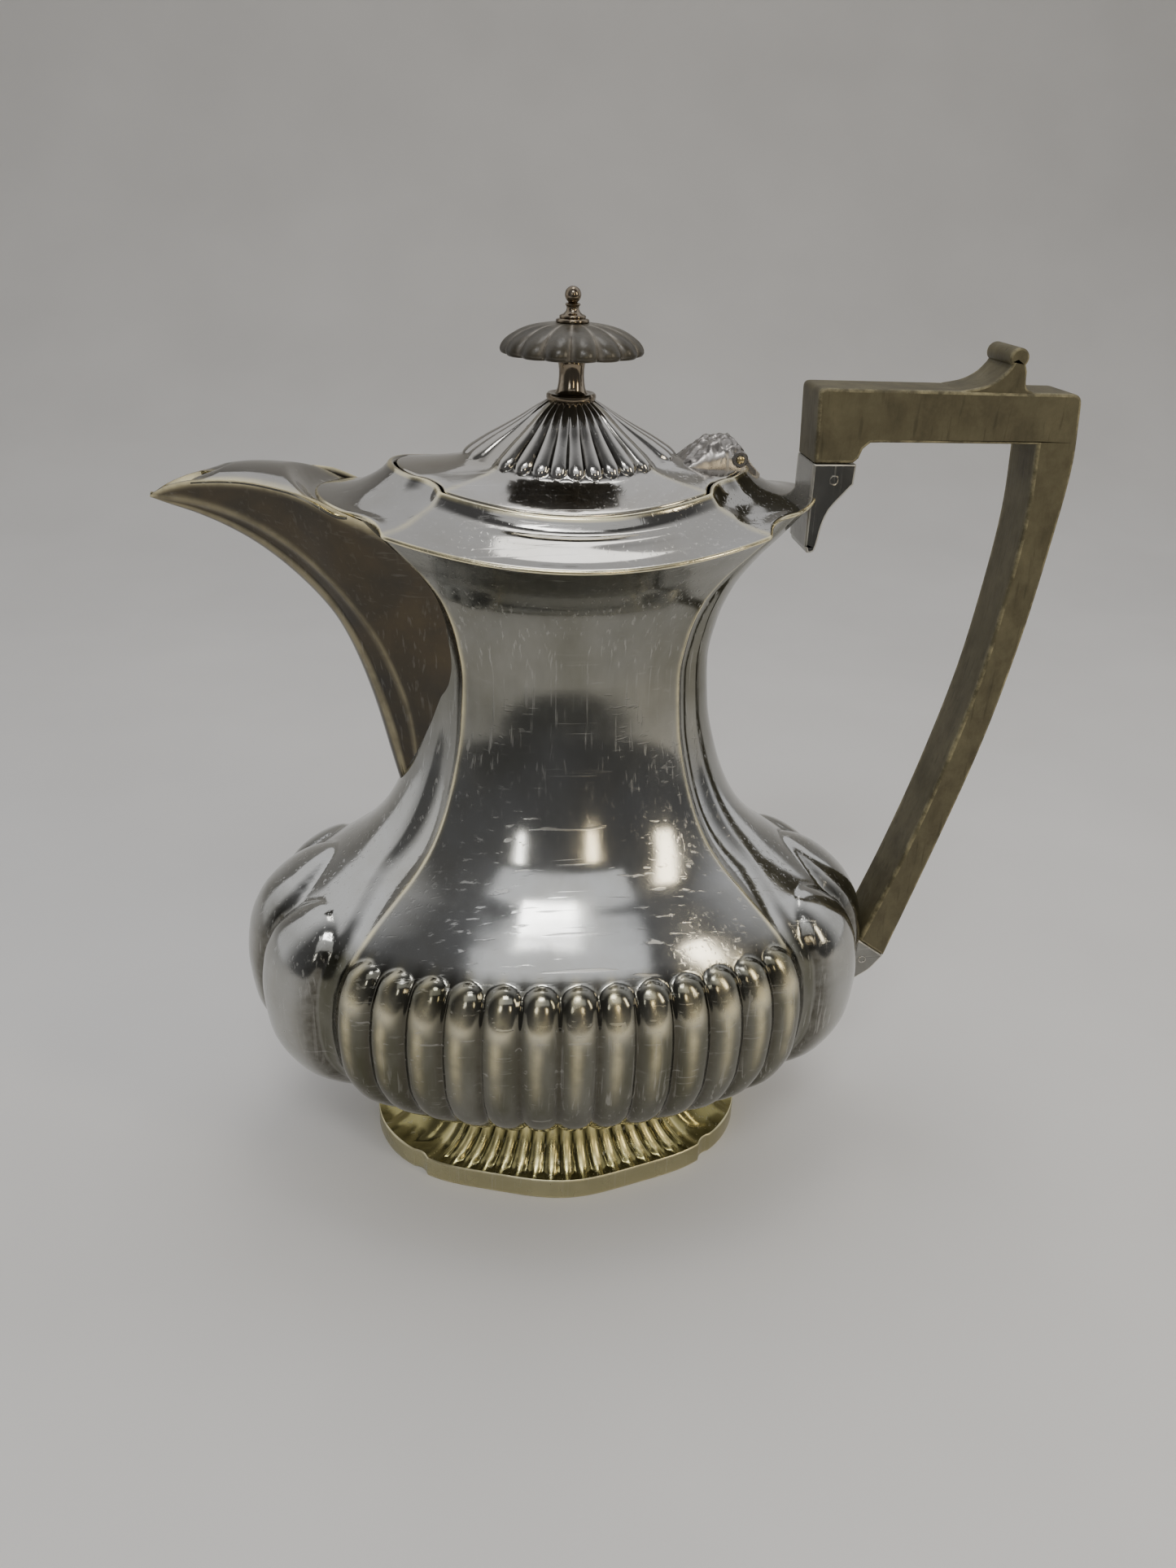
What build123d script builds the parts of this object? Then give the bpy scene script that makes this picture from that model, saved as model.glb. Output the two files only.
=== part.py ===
"""Silver coffee pot: fluted vessel on a foot, beak spout, hinged lid, pinned wooden handle.

Millimetres, +Z up. The origin is under the middle of the foot; the spout points to -X and the
handle to +X. Every level of the vessel has one plan: two long convex sides with sharp corners,
two short rounded ends, and four shallow hollows joining them.
"""
import os
from math import asin, cos, pi, sin, sqrt

from build123d import *

os.makedirs("parts", exist_ok=True)

# ---- the plan, in units of the half length ----
SIDE_Y = 0.70               # middle of a long side
CORNER = (0.725, 0.485)     # its sharp corner
END_NECK = (0.86, 0.30)     # edge of the rounded end on the neck
END_BULGE = (0.795, 0.415)  # the same edge round the bulge, where the end swells into lobes
LOBE_SPLIT = 0.383          # share of the end's half angle taken by the middle lobe
FLUTE_RISE = 0.027          # how far a flute stands out
LOBE_RISE = 0.035

# ---- driving dimensions ----
FLUTES = 13
FOOT_RIBS = 17
LID_FLUTES = 9
WALL = 1.2
RIM_Z = 190.0               # outer edge of the mouth plate, at the ends
RIM_A = 59.5
RIM_R = 110.0               # the rim dips towards the long sides like a drum lying along X
BEAD_Z = 197.0              # top of the bead round the mouth
BEAD_R = 73.0
MOUTH_A = 41.0
LID_GAP = 0.5
BAND_H = 6.7
BAND_A = 54.4
FOOT_TOP = 22.5
HINGE_X, HINGE_Z = 39.2, 199.0
HINGE_R, HINGE_PIN_R = 1.9, 0.9
HINGE_HALF, HINGE_MID = 7.5, 3.7
RUN = 0.05                  # radial clearance of a turning pin
HANDLE_HALF = 7.5
UPPER_PIN = (62.2, 194.4)   # the rivets through the handle's two sockets
LOWER_PIN = (87.5, 56.4)
CROSS_PIN_R = 1.2
STUD_R = 1.5
KNOB_LOBES = 15
DOME_TOP = 210.9            # where the finial's stem stands on the lid
LID_CEILING = DOME_TOP - WALL
WASHER_FOOT = LID_CEILING - 0.8
NUT_H = 2.6
STUD_FOOT, STUD_TOP = WASHER_FOOT - NUT_H - 1.0, 229.0
KNOB_FOOT, KNOB_TOP = 220.6, 227.5
BALL_Z, BALL_R = 233.35, 1.85   # the ball that tips the finial

# height, half length, flutes, lobes, bulge share of the end, share of the rim's dip
BODY = [
    (22.5, 38.0, 0.0, 0.0, 1.0, 0.0),
    (25.5, 46.5, 0.7, 0.5, 1.0, 0.0),
    (29.5, 55.5, 1.0, 0.9, 1.0, 0.0),
    (36.5, 68.5, 1.0, 1.0, 1.0, 0.0),
    (44.0, 77.0, 1.0, 1.0, 1.0, 0.0),
    (54.0, 81.3, 1.0, 1.0, 1.0, 0.0),
    (63.5, 82.0, 1.0, 1.0, 1.0, 0.0),
    (72.0, 81.0, 1.0, 1.0, 1.0, 0.0),
    (78.0, 78.6, 0.9, 1.0, 1.0, 0.0),
    (81.5, 76.0, 0.5, 0.95, 1.0, 0.0),
    (84.0, 73.6, 0.0, 0.85, 0.97, 0.0),
    (88.0, 69.3, 0.0, 0.6, 0.85, 0.0),
    (92.0, 64.3, 0.0, 0.2, 0.55, 0.0),
    (95.5, 59.8, 0.0, 0.0, 0.25, 0.0),
    (100.0, 54.0, 0.0, 0.0, 0.0, 0.0),
    (106.0, 48.3, 0.0, 0.0, 0.0, 0.0),
    (114.0, 43.6, 0.0, 0.0, 0.0, 0.0),
    (124.0, 39.9, 0.0, 0.0, 0.0, 0.0),
    (136.0, 37.2, 0.0, 0.0, 0.0, 0.0),
    (149.0, 36.3, 0.0, 0.0, 0.0, 0.02),
    (159.0, 38.0, 0.0, 0.0, 0.0, 0.12),
    (168.0, 41.5, 0.0, 0.0, 0.0, 0.28),
    (176.0, 47.1, 0.0, 0.0, 0.0, 0.5),
    (183.0, 53.4, 0.0, 0.0, 0.0, 0.73),
    (191.0, 60.3, 0.0, 0.0, 0.0, 1.0),
    (199.0, 66.5, 0.0, 0.0, 0.0, 0.0),
]

# the foot's hollow curve, from the band up to the neck under the body
FOOT = [
    (BAND_H, 54.0, 0.0, 0.0, 0.0, 0.0),
    (7.6, 50.0, 0.9, 0.4, 0.0, 0.0),
    (9.8, 46.0, 1.0, 0.6, 0.0, 0.0),
    (13.2, 42.6, 1.0, 0.6, 0.0, 0.0),
    (17.6, 40.2, 0.8, 0.4, 0.0, 0.0),
    (FOOT_TOP, 39.0, 0.0, 0.0, 0.0, 0.0),
]

# the mouth plate: its top runs in from the thin rim and sweeps up to the bead
# height, half length, share of the dip
COLLAR = [
    (174.0, RIM_A, 0.0),
    (190.9, RIM_A, 1.0),
    (191.1, 55.0, 1.0),
    (191.8, 51.0, 1.0),
    (193.0, 47.4, 1.0),
    (194.9, 44.8, 1.0),
    (196.4, 43.4, 1.0),
    (199.5, 42.4, 1.0),
    (212.0, 42.4, 0.0),
]
COLLAR_UNDER = [
    (170.0, 58.0, 0.0),
    (189.6, 58.0, 1.0),
    (189.8, 54.5, 1.0),
    (190.5, 50.4, 1.0),
    (191.8, 46.8, 1.0),
    (193.6, 44.0, 1.0),
    (195.3, 41.6, 1.0),
    (206.0, 41.6, 0.0),
]
LIP_A = 42.6                # outside of the lip that hangs inside the mouth

# the lid: nearly flat border, then a fluted dome; height, half length, flutes, share of the dip
LID_EDGE = MOUTH_A - LID_GAP
LID_UNDER = 195.7           # underside of its edge, where the bezel hangs
BEZEL_FOOT = 190.5
LID = [
    (180.0, LID_EDGE, 0.0, 0.0),
    (196.8, LID_EDGE, 0.0, 1.0),
    (197.2, 34.0, 0.0, 1.0),
    (198.0, 27.0, 0.0, 1.0),
    (198.5, 25.2, 0.0, 1.0),
    (199.8, 23.6, 0.9, 1.0),
    (202.3, 19.8, 1.0, 0.9),
    (204.8, 15.6, 1.0, 0.8),
    (207.0, 12.1, 1.0, 0.5),
    (209.2, 8.8, 0.7, 0.2),
    (DOME_TOP, 6.2, 0.0, 0.0),
]
LID_INSIDE = [
    (170.0, 38.0, 0.0, 0.0),
    (195.4, 38.0, 0.0, 1.0),
    (196.1, 33.6, 0.0, 1.0),
    (196.9, 26.6, 0.0, 1.0),
    (197.3, 24.4, 0.0, 1.0),
    (198.6, 22.4, 0.0, 1.0),
    (201.1, 18.5, 0.0, 0.9),
    (203.6, 14.3, 0.0, 0.8),
    (205.8, 10.8, 0.0, 0.5),
    (208.0, 7.5, 0.0, 0.2),
    (LID_CEILING, 5.6, 0.0, 0.0),
]

# the melon knob: height, radius
KNOB = [
    (KNOB_FOOT, 5.0),
    (221.1, 13.6),
    (222.5, 15.6),
    (224.1, 14.9),
    (225.8, 11.2),
    (227.0, 6.4),
    (KNOB_TOP, 3.8),
]


def dip(y, radius):
    """How far a drum of this radius, lying along X, falls away at y."""
    return radius - sqrt(radius**2 - y**2)


def outline(z, a, flute=0.0, lobe=0.0, bulge=0.0, saddle=0.0, radius=RIM_R, count=FLUTES, wave=0.0):
    """One level line of the plan as a closed wire of arcs, every edge in the same order."""
    ex = END_NECK[0] + bulge * (END_BULGE[0] - END_NECK[0])
    ey = END_NECK[1] + bulge * (END_BULGE[1] - END_NECK[1])
    cx, cy = CORNER
    side_r = (cx**2 + (SIDE_Y - cy) ** 2) / (2 * (SIDE_Y - cy))
    end_r = (ey**2 + (1 - ex) ** 2) / (2 * (1 - ex))
    half = []
    for i in range(2 * count + 1):
        t = asin(cx / side_r) * (i / count - 1)
        r = side_r + (i % 2) * flute * FLUTE_RISE
        inset = wave * sin(pi * abs(i / count - 1)) ** 2
        half.append((r * sin(t), side_r - SIDE_Y - r * cos(t) + inset))
    hollow = 0.035 - 0.02 * bulge
    length = sqrt((ex - cx) ** 2 + (cy - ey) ** 2)
    nx, ny = (cy - ey) / length, (ex - cx) / length
    mx, my = (cx + ex) / 2 - hollow * nx, (cy + ey) / 2 - hollow * ny
    half.append((mx, -my))
    for share in (-1, -(1 + LOBE_SPLIT) / 2, -LOBE_SPLIT, 0, LOBE_SPLIT, (1 + LOBE_SPLIT) / 2, 1):
        t = asin(ey / end_r) * share
        r = end_r
        if abs(share) not in (LOBE_SPLIT, 1):
            r += lobe * LOBE_RISE
        half.append((1 - end_r + r * cos(t), r * sin(t)))
    half.append((mx, my))
    plan = half + [(-x, -y) for x, y in half]
    points = [(a * x, a * y, z - saddle * dip(a * y, radius)) for x, y in plan]
    with BuildLine() as loop:
        for i in range(0, len(points), 2):
            ThreePointArc(points[i], points[i + 1], points[(i + 2) % len(points)])
    return loop.wire()


def inward(levels, wall):
    """The smooth inside of a list of levels, one wall thickness in from each."""
    inner = []
    for i, level in enumerate(levels):
        below, above = levels[max(i - 1, 0)], levels[min(i + 1, len(levels) - 1)]
        da, dz = above[1] - below[1], above[0] - below[0]
        run = sqrt(da**2 + dz**2)
        inner.append((level[0] + wall * da / run, level[1] - wall * dz / run, 0.0, 0.0) + level[4:])
    return inner


def body_skin(levels):
    return Solid.make_loft([outline(*level) for level in levels])


def prism(a, bottom, top):
    """An upright prism of the plan."""
    return Solid.make_loft([outline(bottom, a), outline(top, a)], True)


def saddle_block(z, radius, thickness):
    """A block 160 long whose near face is a drum of this radius with its crest at z."""
    far = z + thickness
    side = 62.0
    with BuildPart() as block:
        with BuildSketch(Plane.YZ) as face:
            with BuildLine() as edge:
                ThreePointArc((-side, z - dip(side, radius)), (0, z), (side, z - dip(side, radius)))
                Polyline((side, z - dip(side, radius)), (side, far), (-side, far),
                         (-side, z - dip(side, radius)))
            make_face()
        extrude(amount=80, both=True)
    return block.part


above_rim = saddle_block(RIM_Z, RIM_R, 40)
below_rim = saddle_block(RIM_Z, RIM_R, -60)
above_bead = saddle_block(BEAD_Z, BEAD_R, 30)

# ---- vessel ----
vessel_skin = body_skin(BODY)
vessel_inside = body_skin(inward(BODY, WALL))

with BuildPart() as vessel_outside:
    add(vessel_skin)
    add(above_rim, mode=Mode.SUBTRACT)

with BuildPart() as body_shell:
    add(vessel_outside.part)
    add(vessel_inside, mode=Mode.SUBTRACT)
    # strainer holes through the end wall, behind the spout
    with BuildSketch(Plane.YZ.offset(-58)):
        for row, holes in enumerate((1, 2, 3, 4, 3, 4)):
            for i in range(holes):
                with Locations((4.6 * (i - (holes - 1) / 2), 130 + 6.0 * row)):
                    Circle(1.5)
    extrude(amount=34, mode=Mode.SUBTRACT)
body_shell.part.label = "body_shell"

# ---- foot ----
foot_skin = Solid.make_loft([outline(*level, count=FOOT_RIBS, wave=0.02) for level in FOOT])
hollow_levels = [(4.0, 52.5, 0.0, 0.0, 0.0, 0.0), (BAND_H, 51.5, 0.0, 0.0, 0.0, 0.0)]
hollow_levels += inward(FOOT, WALL)[2:-1] + [(FOOT_TOP + 1, 37.7, 0.0, 0.0, 0.0, 0.0)]
foot_inside = body_skin(hollow_levels)
band_skin = Solid.make_loft([outline(z, BAND_A, count=FOOT_RIBS, wave=0.02) for z in (0, BAND_H)], True)
band_inside = prism(BAND_A - 3.0, -1, BAND_H + 1)

with BuildPart() as foot:
    add(foot_skin)
    add(foot_inside, mode=Mode.SUBTRACT)
foot.part.label = "foot"

with BuildPart() as foot_band:
    add(band_skin)
    add(band_inside, mode=Mode.SUBTRACT)
foot_band.part.label = "foot_band"

# ---- mouth plate with its bead and inner lip ----
def collar_skin(levels):
    """Straight-sided skin through levels that dip like the bead inside 46 and like the rim beyond."""
    wires = []
    for z, a, saddle in levels:
        wires.append(outline(z, a, saddle=saddle, radius=BEAD_R if a < 46 else RIM_R))
    return Solid.make_loft(wires, True)


collar_top_skin = collar_skin(COLLAR)
collar_under_skin = collar_skin(COLLAR_UNDER)
lip_prism = prism(LIP_A, 160, 214)
mouth_prism = prism(MOUTH_A, 160, 214)

with BuildPart() as collar_hollow:
    add(collar_under_skin)
    add(lip_prism, mode=Mode.SUBTRACT)

with BuildPart() as collar_outside:
    add(collar_top_skin)
    add(below_rim, mode=Mode.SUBTRACT)
    add(above_bead, mode=Mode.SUBTRACT)

with BuildPart() as rim_collar:
    add(collar_outside.part)
    add(collar_hollow.part, mode=Mode.SUBTRACT)
    add(mouth_prism, mode=Mode.SUBTRACT)
rim_collar.part.label = "rim_collar"

# ---- spout: a beak as wide as the neck at the rim, narrowing to a keel below ----
# per station: top edge x, z, half width; keel x, z, half width
SPOUT = [
    (-96.8, 189.0, 0.6, -97.1, 188.3, 0.4),
    (-92.2, 191.4, 3.2, -92.6, 187.2, 1.5),
    (-86.0, 193.1, 5.6, -87.0, 185.6, 2.2),
    (-75.0, 194.1, 10.2, -76.7, 180.9, 3.0),
    (-64.5, 193.0, 14.2, -66.1, 172.8, 3.6),
    (-52.5, 188.5, 19.0, -55.5, 159.6, 3.8),
    (-36.5, 179.0, 18.5, -48.6, 141.2, 3.6),
    (-28.0, 158.0, 13.5, -44.4, 123.0, 2.8),
    (-29.0, 130.0, 11.0, -41.8, 110.0, 1.0),
]
SPOUT_WALL = 1.1
COVER_CREST = 1.6


def spout_section(top_x, top_z, top_w, keel_x, keel_z, keel_w, lift=0.0, inset=0.0):
    """One closed section; lift carries the top outwards, inset draws every wall in."""
    run_x, run_z = top_x - keel_x, top_z - keel_z
    height = sqrt(run_x**2 + run_z**2)
    ux, uz = run_x / height, run_z / height
    tx, tz = top_x + lift * ux, top_z + lift * uz
    bx, bz = keel_x + inset * ux, keel_z + inset * uz
    tw, bw = max(top_w - inset, 0.15), max(keel_w - inset, 0.1)
    mx, mz, mw = (tx + bx) / 2, (tz + bz) / 2, (tw + bw) / 2 + 0.03 * height
    with BuildLine() as loop:
        ThreePointArc((tx, -tw, tz), (mx, -mw, mz), (bx, -bw, bz))
        ThreePointArc((bx, -bw, bz), (bx - 0.5 * bw * ux, 0, bz - 0.5 * bw * uz), (bx, bw, bz))
        ThreePointArc((bx, bw, bz), (mx, mw, mz), (tx, tw, tz))
        Line((tx, tw, tz), (tx, -tw, tz))
    return loop.wire()


spout_skin = Solid.make_loft([spout_section(*s) for s in SPOUT], True)
spout_inside = Solid.make_loft([spout_section(*s, lift=5.0, inset=SPOUT_WALL) for s in SPOUT[1:]], True)

with BuildPart() as spout_body:
    add(spout_skin)
    add(spout_inside, mode=Mode.SUBTRACT)
    add(vessel_outside.part, mode=Mode.SUBTRACT)
    add(collar_outside.part, mode=Mode.SUBTRACT)
spout_body.part.label = "spout_body"


def cover_section(x, z, w):
    """A shallow arch standing on the two top edges of the spout."""
    with BuildLine() as loop:
        ThreePointArc((x, -w, z), (x, 0, z + COVER_CREST * w / 19.0 + 0.7), (x, w, z))
        Line((x, w, z), (x, -w, z))
    return loop.wire()


cover_levels = [cover_section(*s[:3]) for s in SPOUT[2:6]] + [cover_section(-44.0, 185.0, 19.5)]
cover_skin = Solid.make_loft(cover_levels, True)

with BuildPart() as spout_cover:
    add(cover_skin)
    add(vessel_outside.part, mode=Mode.SUBTRACT)
    add(collar_outside.part, mode=Mode.SUBTRACT)
spout_cover.part.label = "spout_cover"

# ---- handle, its two sockets and their cross pins ----
with BuildPart() as handle:
    with BuildSketch(Plane.XZ):
        with BuildLine():
            Line((67.4, 198.3), (57.1, 198.3))
            Line((57.1, 198.3), (56.4, 215.2))
            Line((56.4, 215.2), (116.8, 214.6))
            ThreePointArc((116.8, 214.6), (119.0, 213.7), (119.9, 211.6))
            Spline((119.9, 211.6), (120.8, 196.7), (119.2, 176.8), (116.5, 153.4), (111.7, 126.0),
                   (104.4, 96.4), (93.8, 57.4))
            Line((93.8, 57.4), (86.0, 63.0))
            Spline((86.0, 63.0), (93.6, 86.3), (100.6, 111.6), (106.9, 140.1), (110.1, 164.3),
                   (111.6, 184.9), (110.8, 200.0))
            ThreePointArc((110.8, 200.0), (109.8, 202.1), (107.6, 203.0))
            Line((107.6, 203.0), (69.4, 203.1))
            ThreePointArc((69.4, 203.1), (68.2, 200.9), (67.4, 198.3))
        make_face()
    extrude(amount=HANDLE_HALF, both=True)
    # scroll thumb rest
    with BuildSketch(Plane.XZ):
        with BuildLine():
            ThreePointArc((90.0, 214.9), (95.6, 216.2), (100.4, 219.6))
            ThreePointArc((100.4, 219.6), (100.9, 223.9), (104.6, 224.6))
            ThreePointArc((104.6, 224.6), (105.6, 222.5), (105.5, 219.0))
            Line((105.5, 219.0), (105.6, 214.5))
            Line((105.6, 214.5), (90.0, 214.5))
            Line((90.0, 214.5), (90.0, 214.9))
        make_face()
    extrude(amount=HANDLE_HALF - 0.4, both=True)
    # tenons into the sockets
    with BuildSketch(Plane.XZ):
        with Locations((62.1, 195.0)):
            Rectangle(7.8, 7.6)
        with Locations(Location((89.2, 57.8), -35.7)):
            Rectangle(4.4, 7.6)
    extrude(amount=HANDLE_HALF - 1.4, both=True)
    with BuildSketch(Plane.XZ):
        with Locations(UPPER_PIN, LOWER_PIN):
            Circle(CROSS_PIN_R)
    extrude(amount=12, both=True, mode=Mode.SUBTRACT)
handle.part.label = "handle"

with BuildPart() as upper_socket:
    with BuildSketch(Plane.XZ):
        with BuildLine():
            Polyline((59.0, 176.8), (56.9, 176.9), (56.9, 198.2), (67.5, 198.2), (67.1, 193.4))
            Spline((67.1, 193.4), (64.6, 190.6), (61.9, 187.6), (60.6, 183.6), (59.9, 179.5),
                   (59.0, 176.8))
        make_face()
    extrude(amount=HANDLE_HALF, both=True)
    with BuildSketch(Plane.XZ):
        with Locations((62.1, 195.0)):
            Rectangle(7.9, 7.7)
    extrude(amount=HANDLE_HALF - 1.35, both=True, mode=Mode.SUBTRACT)
    with BuildSketch(Plane.XZ):
        with Locations(UPPER_PIN):
            Circle(CROSS_PIN_R)
    extrude(amount=12, both=True, mode=Mode.SUBTRACT)
    add(handle.part, mode=Mode.SUBTRACT)
    add(rim_collar.part, mode=Mode.SUBTRACT)
    add(vessel_outside.part, mode=Mode.SUBTRACT)
upper_socket.part.label = "upper_socket"

with BuildPart() as lower_socket:
    with BuildSketch(Plane.XZ):
        with BuildLine():
            Polyline((86.0, 63.0), (93.8, 57.4), (90.2, 52.6), (80.0, 46.4), (72.0, 46.0), (72.0, 58.0),
                     (82.4, 60.9), (86.0, 63.0))
        make_face()
    extrude(amount=HANDLE_HALF, both=True)
    with BuildSketch(Plane.XZ):
        with Locations(LOWER_PIN):
            Circle(CROSS_PIN_R)
    extrude(amount=12, both=True, mode=Mode.SUBTRACT)
    add(handle.part, mode=Mode.SUBTRACT)
    add(vessel_outside.part, mode=Mode.SUBTRACT)
lower_socket.part.label = "lower_socket"


# a rivet through each socket, its ends just proud of the two sides
with BuildPart() as upper_socket_pin:
    with BuildSketch(Plane.XZ):
        with Locations(UPPER_PIN):
            Circle(CROSS_PIN_R)
    extrude(amount=HANDLE_HALF + 0.15, both=True)
upper_socket_pin.part.label = "upper_socket_pin"

with BuildPart() as lower_socket_pin:
    with BuildSketch(Plane.XZ):
        with Locations(LOWER_PIN):
            Circle(CROSS_PIN_R)
    extrude(amount=HANDLE_HALF + 0.15, both=True)
lower_socket_pin.part.label = "lower_socket_pin"

# ---- hinge: one knuckle on the pot between two on the lid ----
def barrel(radius, start, end):
    """A solid cylinder on the hinge axis between two stations along Y."""
    with BuildPart() as roll:
        with BuildSketch(Plane.XZ.offset(-end)):
            with Locations((HINGE_X, HINGE_Z)):
                Circle(radius)
        extrude(amount=end - start)
    return roll.part


middle_knuckle = barrel(HINGE_R, -HINGE_MID, HINGE_MID)
outer_knuckles = barrel(HINGE_R, -HINGE_HALF, HINGE_HALF)
pin_rod = barrel(HINGE_PIN_R, -HINGE_HALF - 0.2, HINGE_HALF + 0.2)
fixed_bore = barrel(HINGE_PIN_R, -10, 10)
running_bore = barrel(HINGE_PIN_R + RUN, -10, 10)

with BuildPart() as hinge_leaf_body:
    add(middle_knuckle)
    with BuildSketch(Plane.XZ):
        with BuildLine():
            Polyline((39.4, 199.4), (41.1, 199.2), (42.9, 197.4), (45.2, 195.0), (45.2, 193.0),
                     (40.6, 196.0), (39.4, 197.4), (39.4, 199.4))
        make_face()
    extrude(amount=HINGE_MID, both=True)
    add(fixed_bore, mode=Mode.SUBTRACT)
    add(rim_collar.part, mode=Mode.SUBTRACT)
hinge_leaf_body.part.label = "hinge_leaf_body"

with BuildPart() as hinge_pin:
    add(pin_rod)
hinge_pin.part.label = "hinge_pin"


# ---- lid ----
def lid_skin(levels):
    """Straight-sided skin of the lid; its flutes and end lobes rise together."""
    wires = []
    for z, a, flute, saddle in levels:
        wires.append(outline(z, a, flute=1.3 * flute, lobe=0.9 * flute, saddle=saddle,
                             radius=BEAD_R, count=LID_FLUTES))
    return Solid.make_loft(wires, True)


below_lid = saddle_block(LID_UNDER, BEAD_R, -40)
above_bezel = saddle_block(LID_UNDER, BEAD_R, 30)
below_bezel = saddle_block(BEZEL_FOOT, BEAD_R, -40)

with BuildPart() as knuckle_notch:
    with Locations((HINGE_X + 3.0, 0, 195)):
        Box(11.4, 2 * HINGE_MID + 0.7, 24)

lid_outside = lid_skin(LID)
lid_inside = lid_skin(LID_INSIDE)
bezel_skin = lid_skin([(175.0, 39.3, 0, 0), (190.0, 39.3, 0, 1), (196.2, 40.1, 0, 1), (206.0, 40.1, 0, 0)])
bezel_inside = prism(38.5, 160, 214)

with BuildPart() as lid_cover:
    add(lid_outside)
    add(lid_inside, mode=Mode.SUBTRACT)
    add(below_lid, mode=Mode.SUBTRACT)
    add(knuckle_notch.part, mode=Mode.SUBTRACT)
    with Locations((0, 0, 208)):
        Cylinder(STUD_R + RUN, 12, mode=Mode.SUBTRACT)
lid_cover.part.label = "lid_cover"

# a ring under the lid's edge that drops inside the mouth, tapering so that it swings clear
with BuildPart() as lid_bezel:
    add(bezel_skin)
    add(bezel_inside, mode=Mode.SUBTRACT)
    add(above_bezel, mode=Mode.SUBTRACT)
    add(below_bezel, mode=Mode.SUBTRACT)
    add(knuckle_notch.part, mode=Mode.SUBTRACT)
lid_bezel.part.label = "lid_bezel"

# the lid's half of the hinge: a lumpy cast shoulder carrying the two outer knuckles
with BuildPart() as hinge_leaf_lid:
    with BuildSketch(Plane.XZ):
        with BuildLine():
            Spline((26.4, 197.4), (28.6, 200.4), (31.6, 202.6), (35.4, 203.4), (38.4, 202.2),
                   (39.9, 200.7))
            Polyline((39.9, 200.7), (39.2, 198.6), (38.4, 196.2), (33.8, 196.65), (26.4, 197.3),
                     (26.4, 197.4))
        make_face()
    extrude(amount=HINGE_HALF, both=True)
    add(outer_knuckles)
    with Locations((HINGE_X + 3.0, 0, 199)):
        Box(10.8, 2 * HINGE_MID + 0.7, 20, mode=Mode.SUBTRACT)
    add(running_bore, mode=Mode.SUBTRACT)
    add(lid_cover.part, mode=Mode.SUBTRACT)
hinge_leaf_lid.part.label = "hinge_leaf_lid"

# ---- finial: silver stem, melon knob and silver tip, held by a stud from inside the lid ----
with BuildPart() as finial_stem:
    with BuildSketch(Plane.XZ):
        with BuildLine():
            Polyline((STUD_R + RUN, DOME_TOP), (5.8, DOME_TOP), (5.8, 212.2))
            ThreePointArc((5.8, 212.2), (4.9, 213.2), (2.9, 214.2))
            Line((2.9, 214.2), (2.9, 219.0))
            ThreePointArc((2.9, 219.0), (3.35, 220.0), (4.2, KNOB_FOOT))
            Polyline((4.2, KNOB_FOOT), (STUD_R + RUN, KNOB_FOOT), (STUD_R + RUN, DOME_TOP))
        make_face()
    revolve(axis=Axis.Z)
finial_stem.part.label = "finial_stem"


def scallop(z, radius):
    """A ring of outward lobes with sharp valleys between them."""
    points = []
    for i in range(2 * KNOB_LOBES):
        r = radius * (1 + 0.055 * (i % 2))
        points.append((r * cos(pi * i / KNOB_LOBES), r * sin(pi * i / KNOB_LOBES), z))
    with BuildLine() as loop:
        for i in range(0, len(points), 2):
            ThreePointArc(points[i], points[i + 1], points[(i + 2) % len(points)])
    return loop.wire()


knob_skin = Solid.make_loft([scallop(z, r) for z, r in KNOB], True)

with BuildPart() as finial_knob:
    add(knob_skin)
    with Locations((0, 0, 222)):
        Cylinder(STUD_R + RUN, 20, mode=Mode.SUBTRACT)
finial_knob.part.label = "finial_knob"

ball_foot = BALL_Z - sqrt(BALL_R**2 - 1)

with BuildPart() as finial_cap:
    with BuildSketch(Plane.XZ):
        with BuildLine():
            Polyline((STUD_R + RUN, KNOB_TOP), (3.8, KNOB_TOP), (3.8, 228.2), (3.0, 228.6), (3.0, 229.2),
                     (1.5, 230.0), (1.3, 231.0))
            ThreePointArc((1.3, 231.0), (1.75, 231.4), (1.0, ball_foot))
            ThreePointArc((1.0, ball_foot), (BALL_R, BALL_Z), (0, BALL_Z + BALL_R))
            Polyline((0, BALL_Z + BALL_R), (0, STUD_TOP + 0.1), (STUD_R + RUN, STUD_TOP + 0.1),
                     (STUD_R + RUN, KNOB_TOP))
        make_face()
    revolve(axis=Axis.Z)
finial_cap.part.label = "finial_cap"

with BuildPart() as finial_stud:
    with Locations((0, 0, STUD_FOOT)):
        Cylinder(STUD_R, STUD_TOP - STUD_FOOT, align=(Align.CENTER, Align.CENTER, Align.MIN))
finial_stud.part.label = "finial_stud"

with BuildPart() as finial_washer:
    with BuildSketch(Plane.XY.offset(WASHER_FOOT)):
        Circle(3.4)
        Circle(STUD_R + RUN, mode=Mode.SUBTRACT)
    extrude(amount=LID_CEILING - WASHER_FOOT)
finial_washer.part.label = "finial_washer"

with BuildPart() as finial_nut:
    with BuildSketch(Plane.XY.offset(WASHER_FOOT - NUT_H)):
        RegularPolygon(2.9, 6)
        Circle(STUD_R + RUN, mode=Mode.SUBTRACT)
    extrude(amount=NUT_H)
finial_nut.part.label = "finial_nut"

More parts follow.
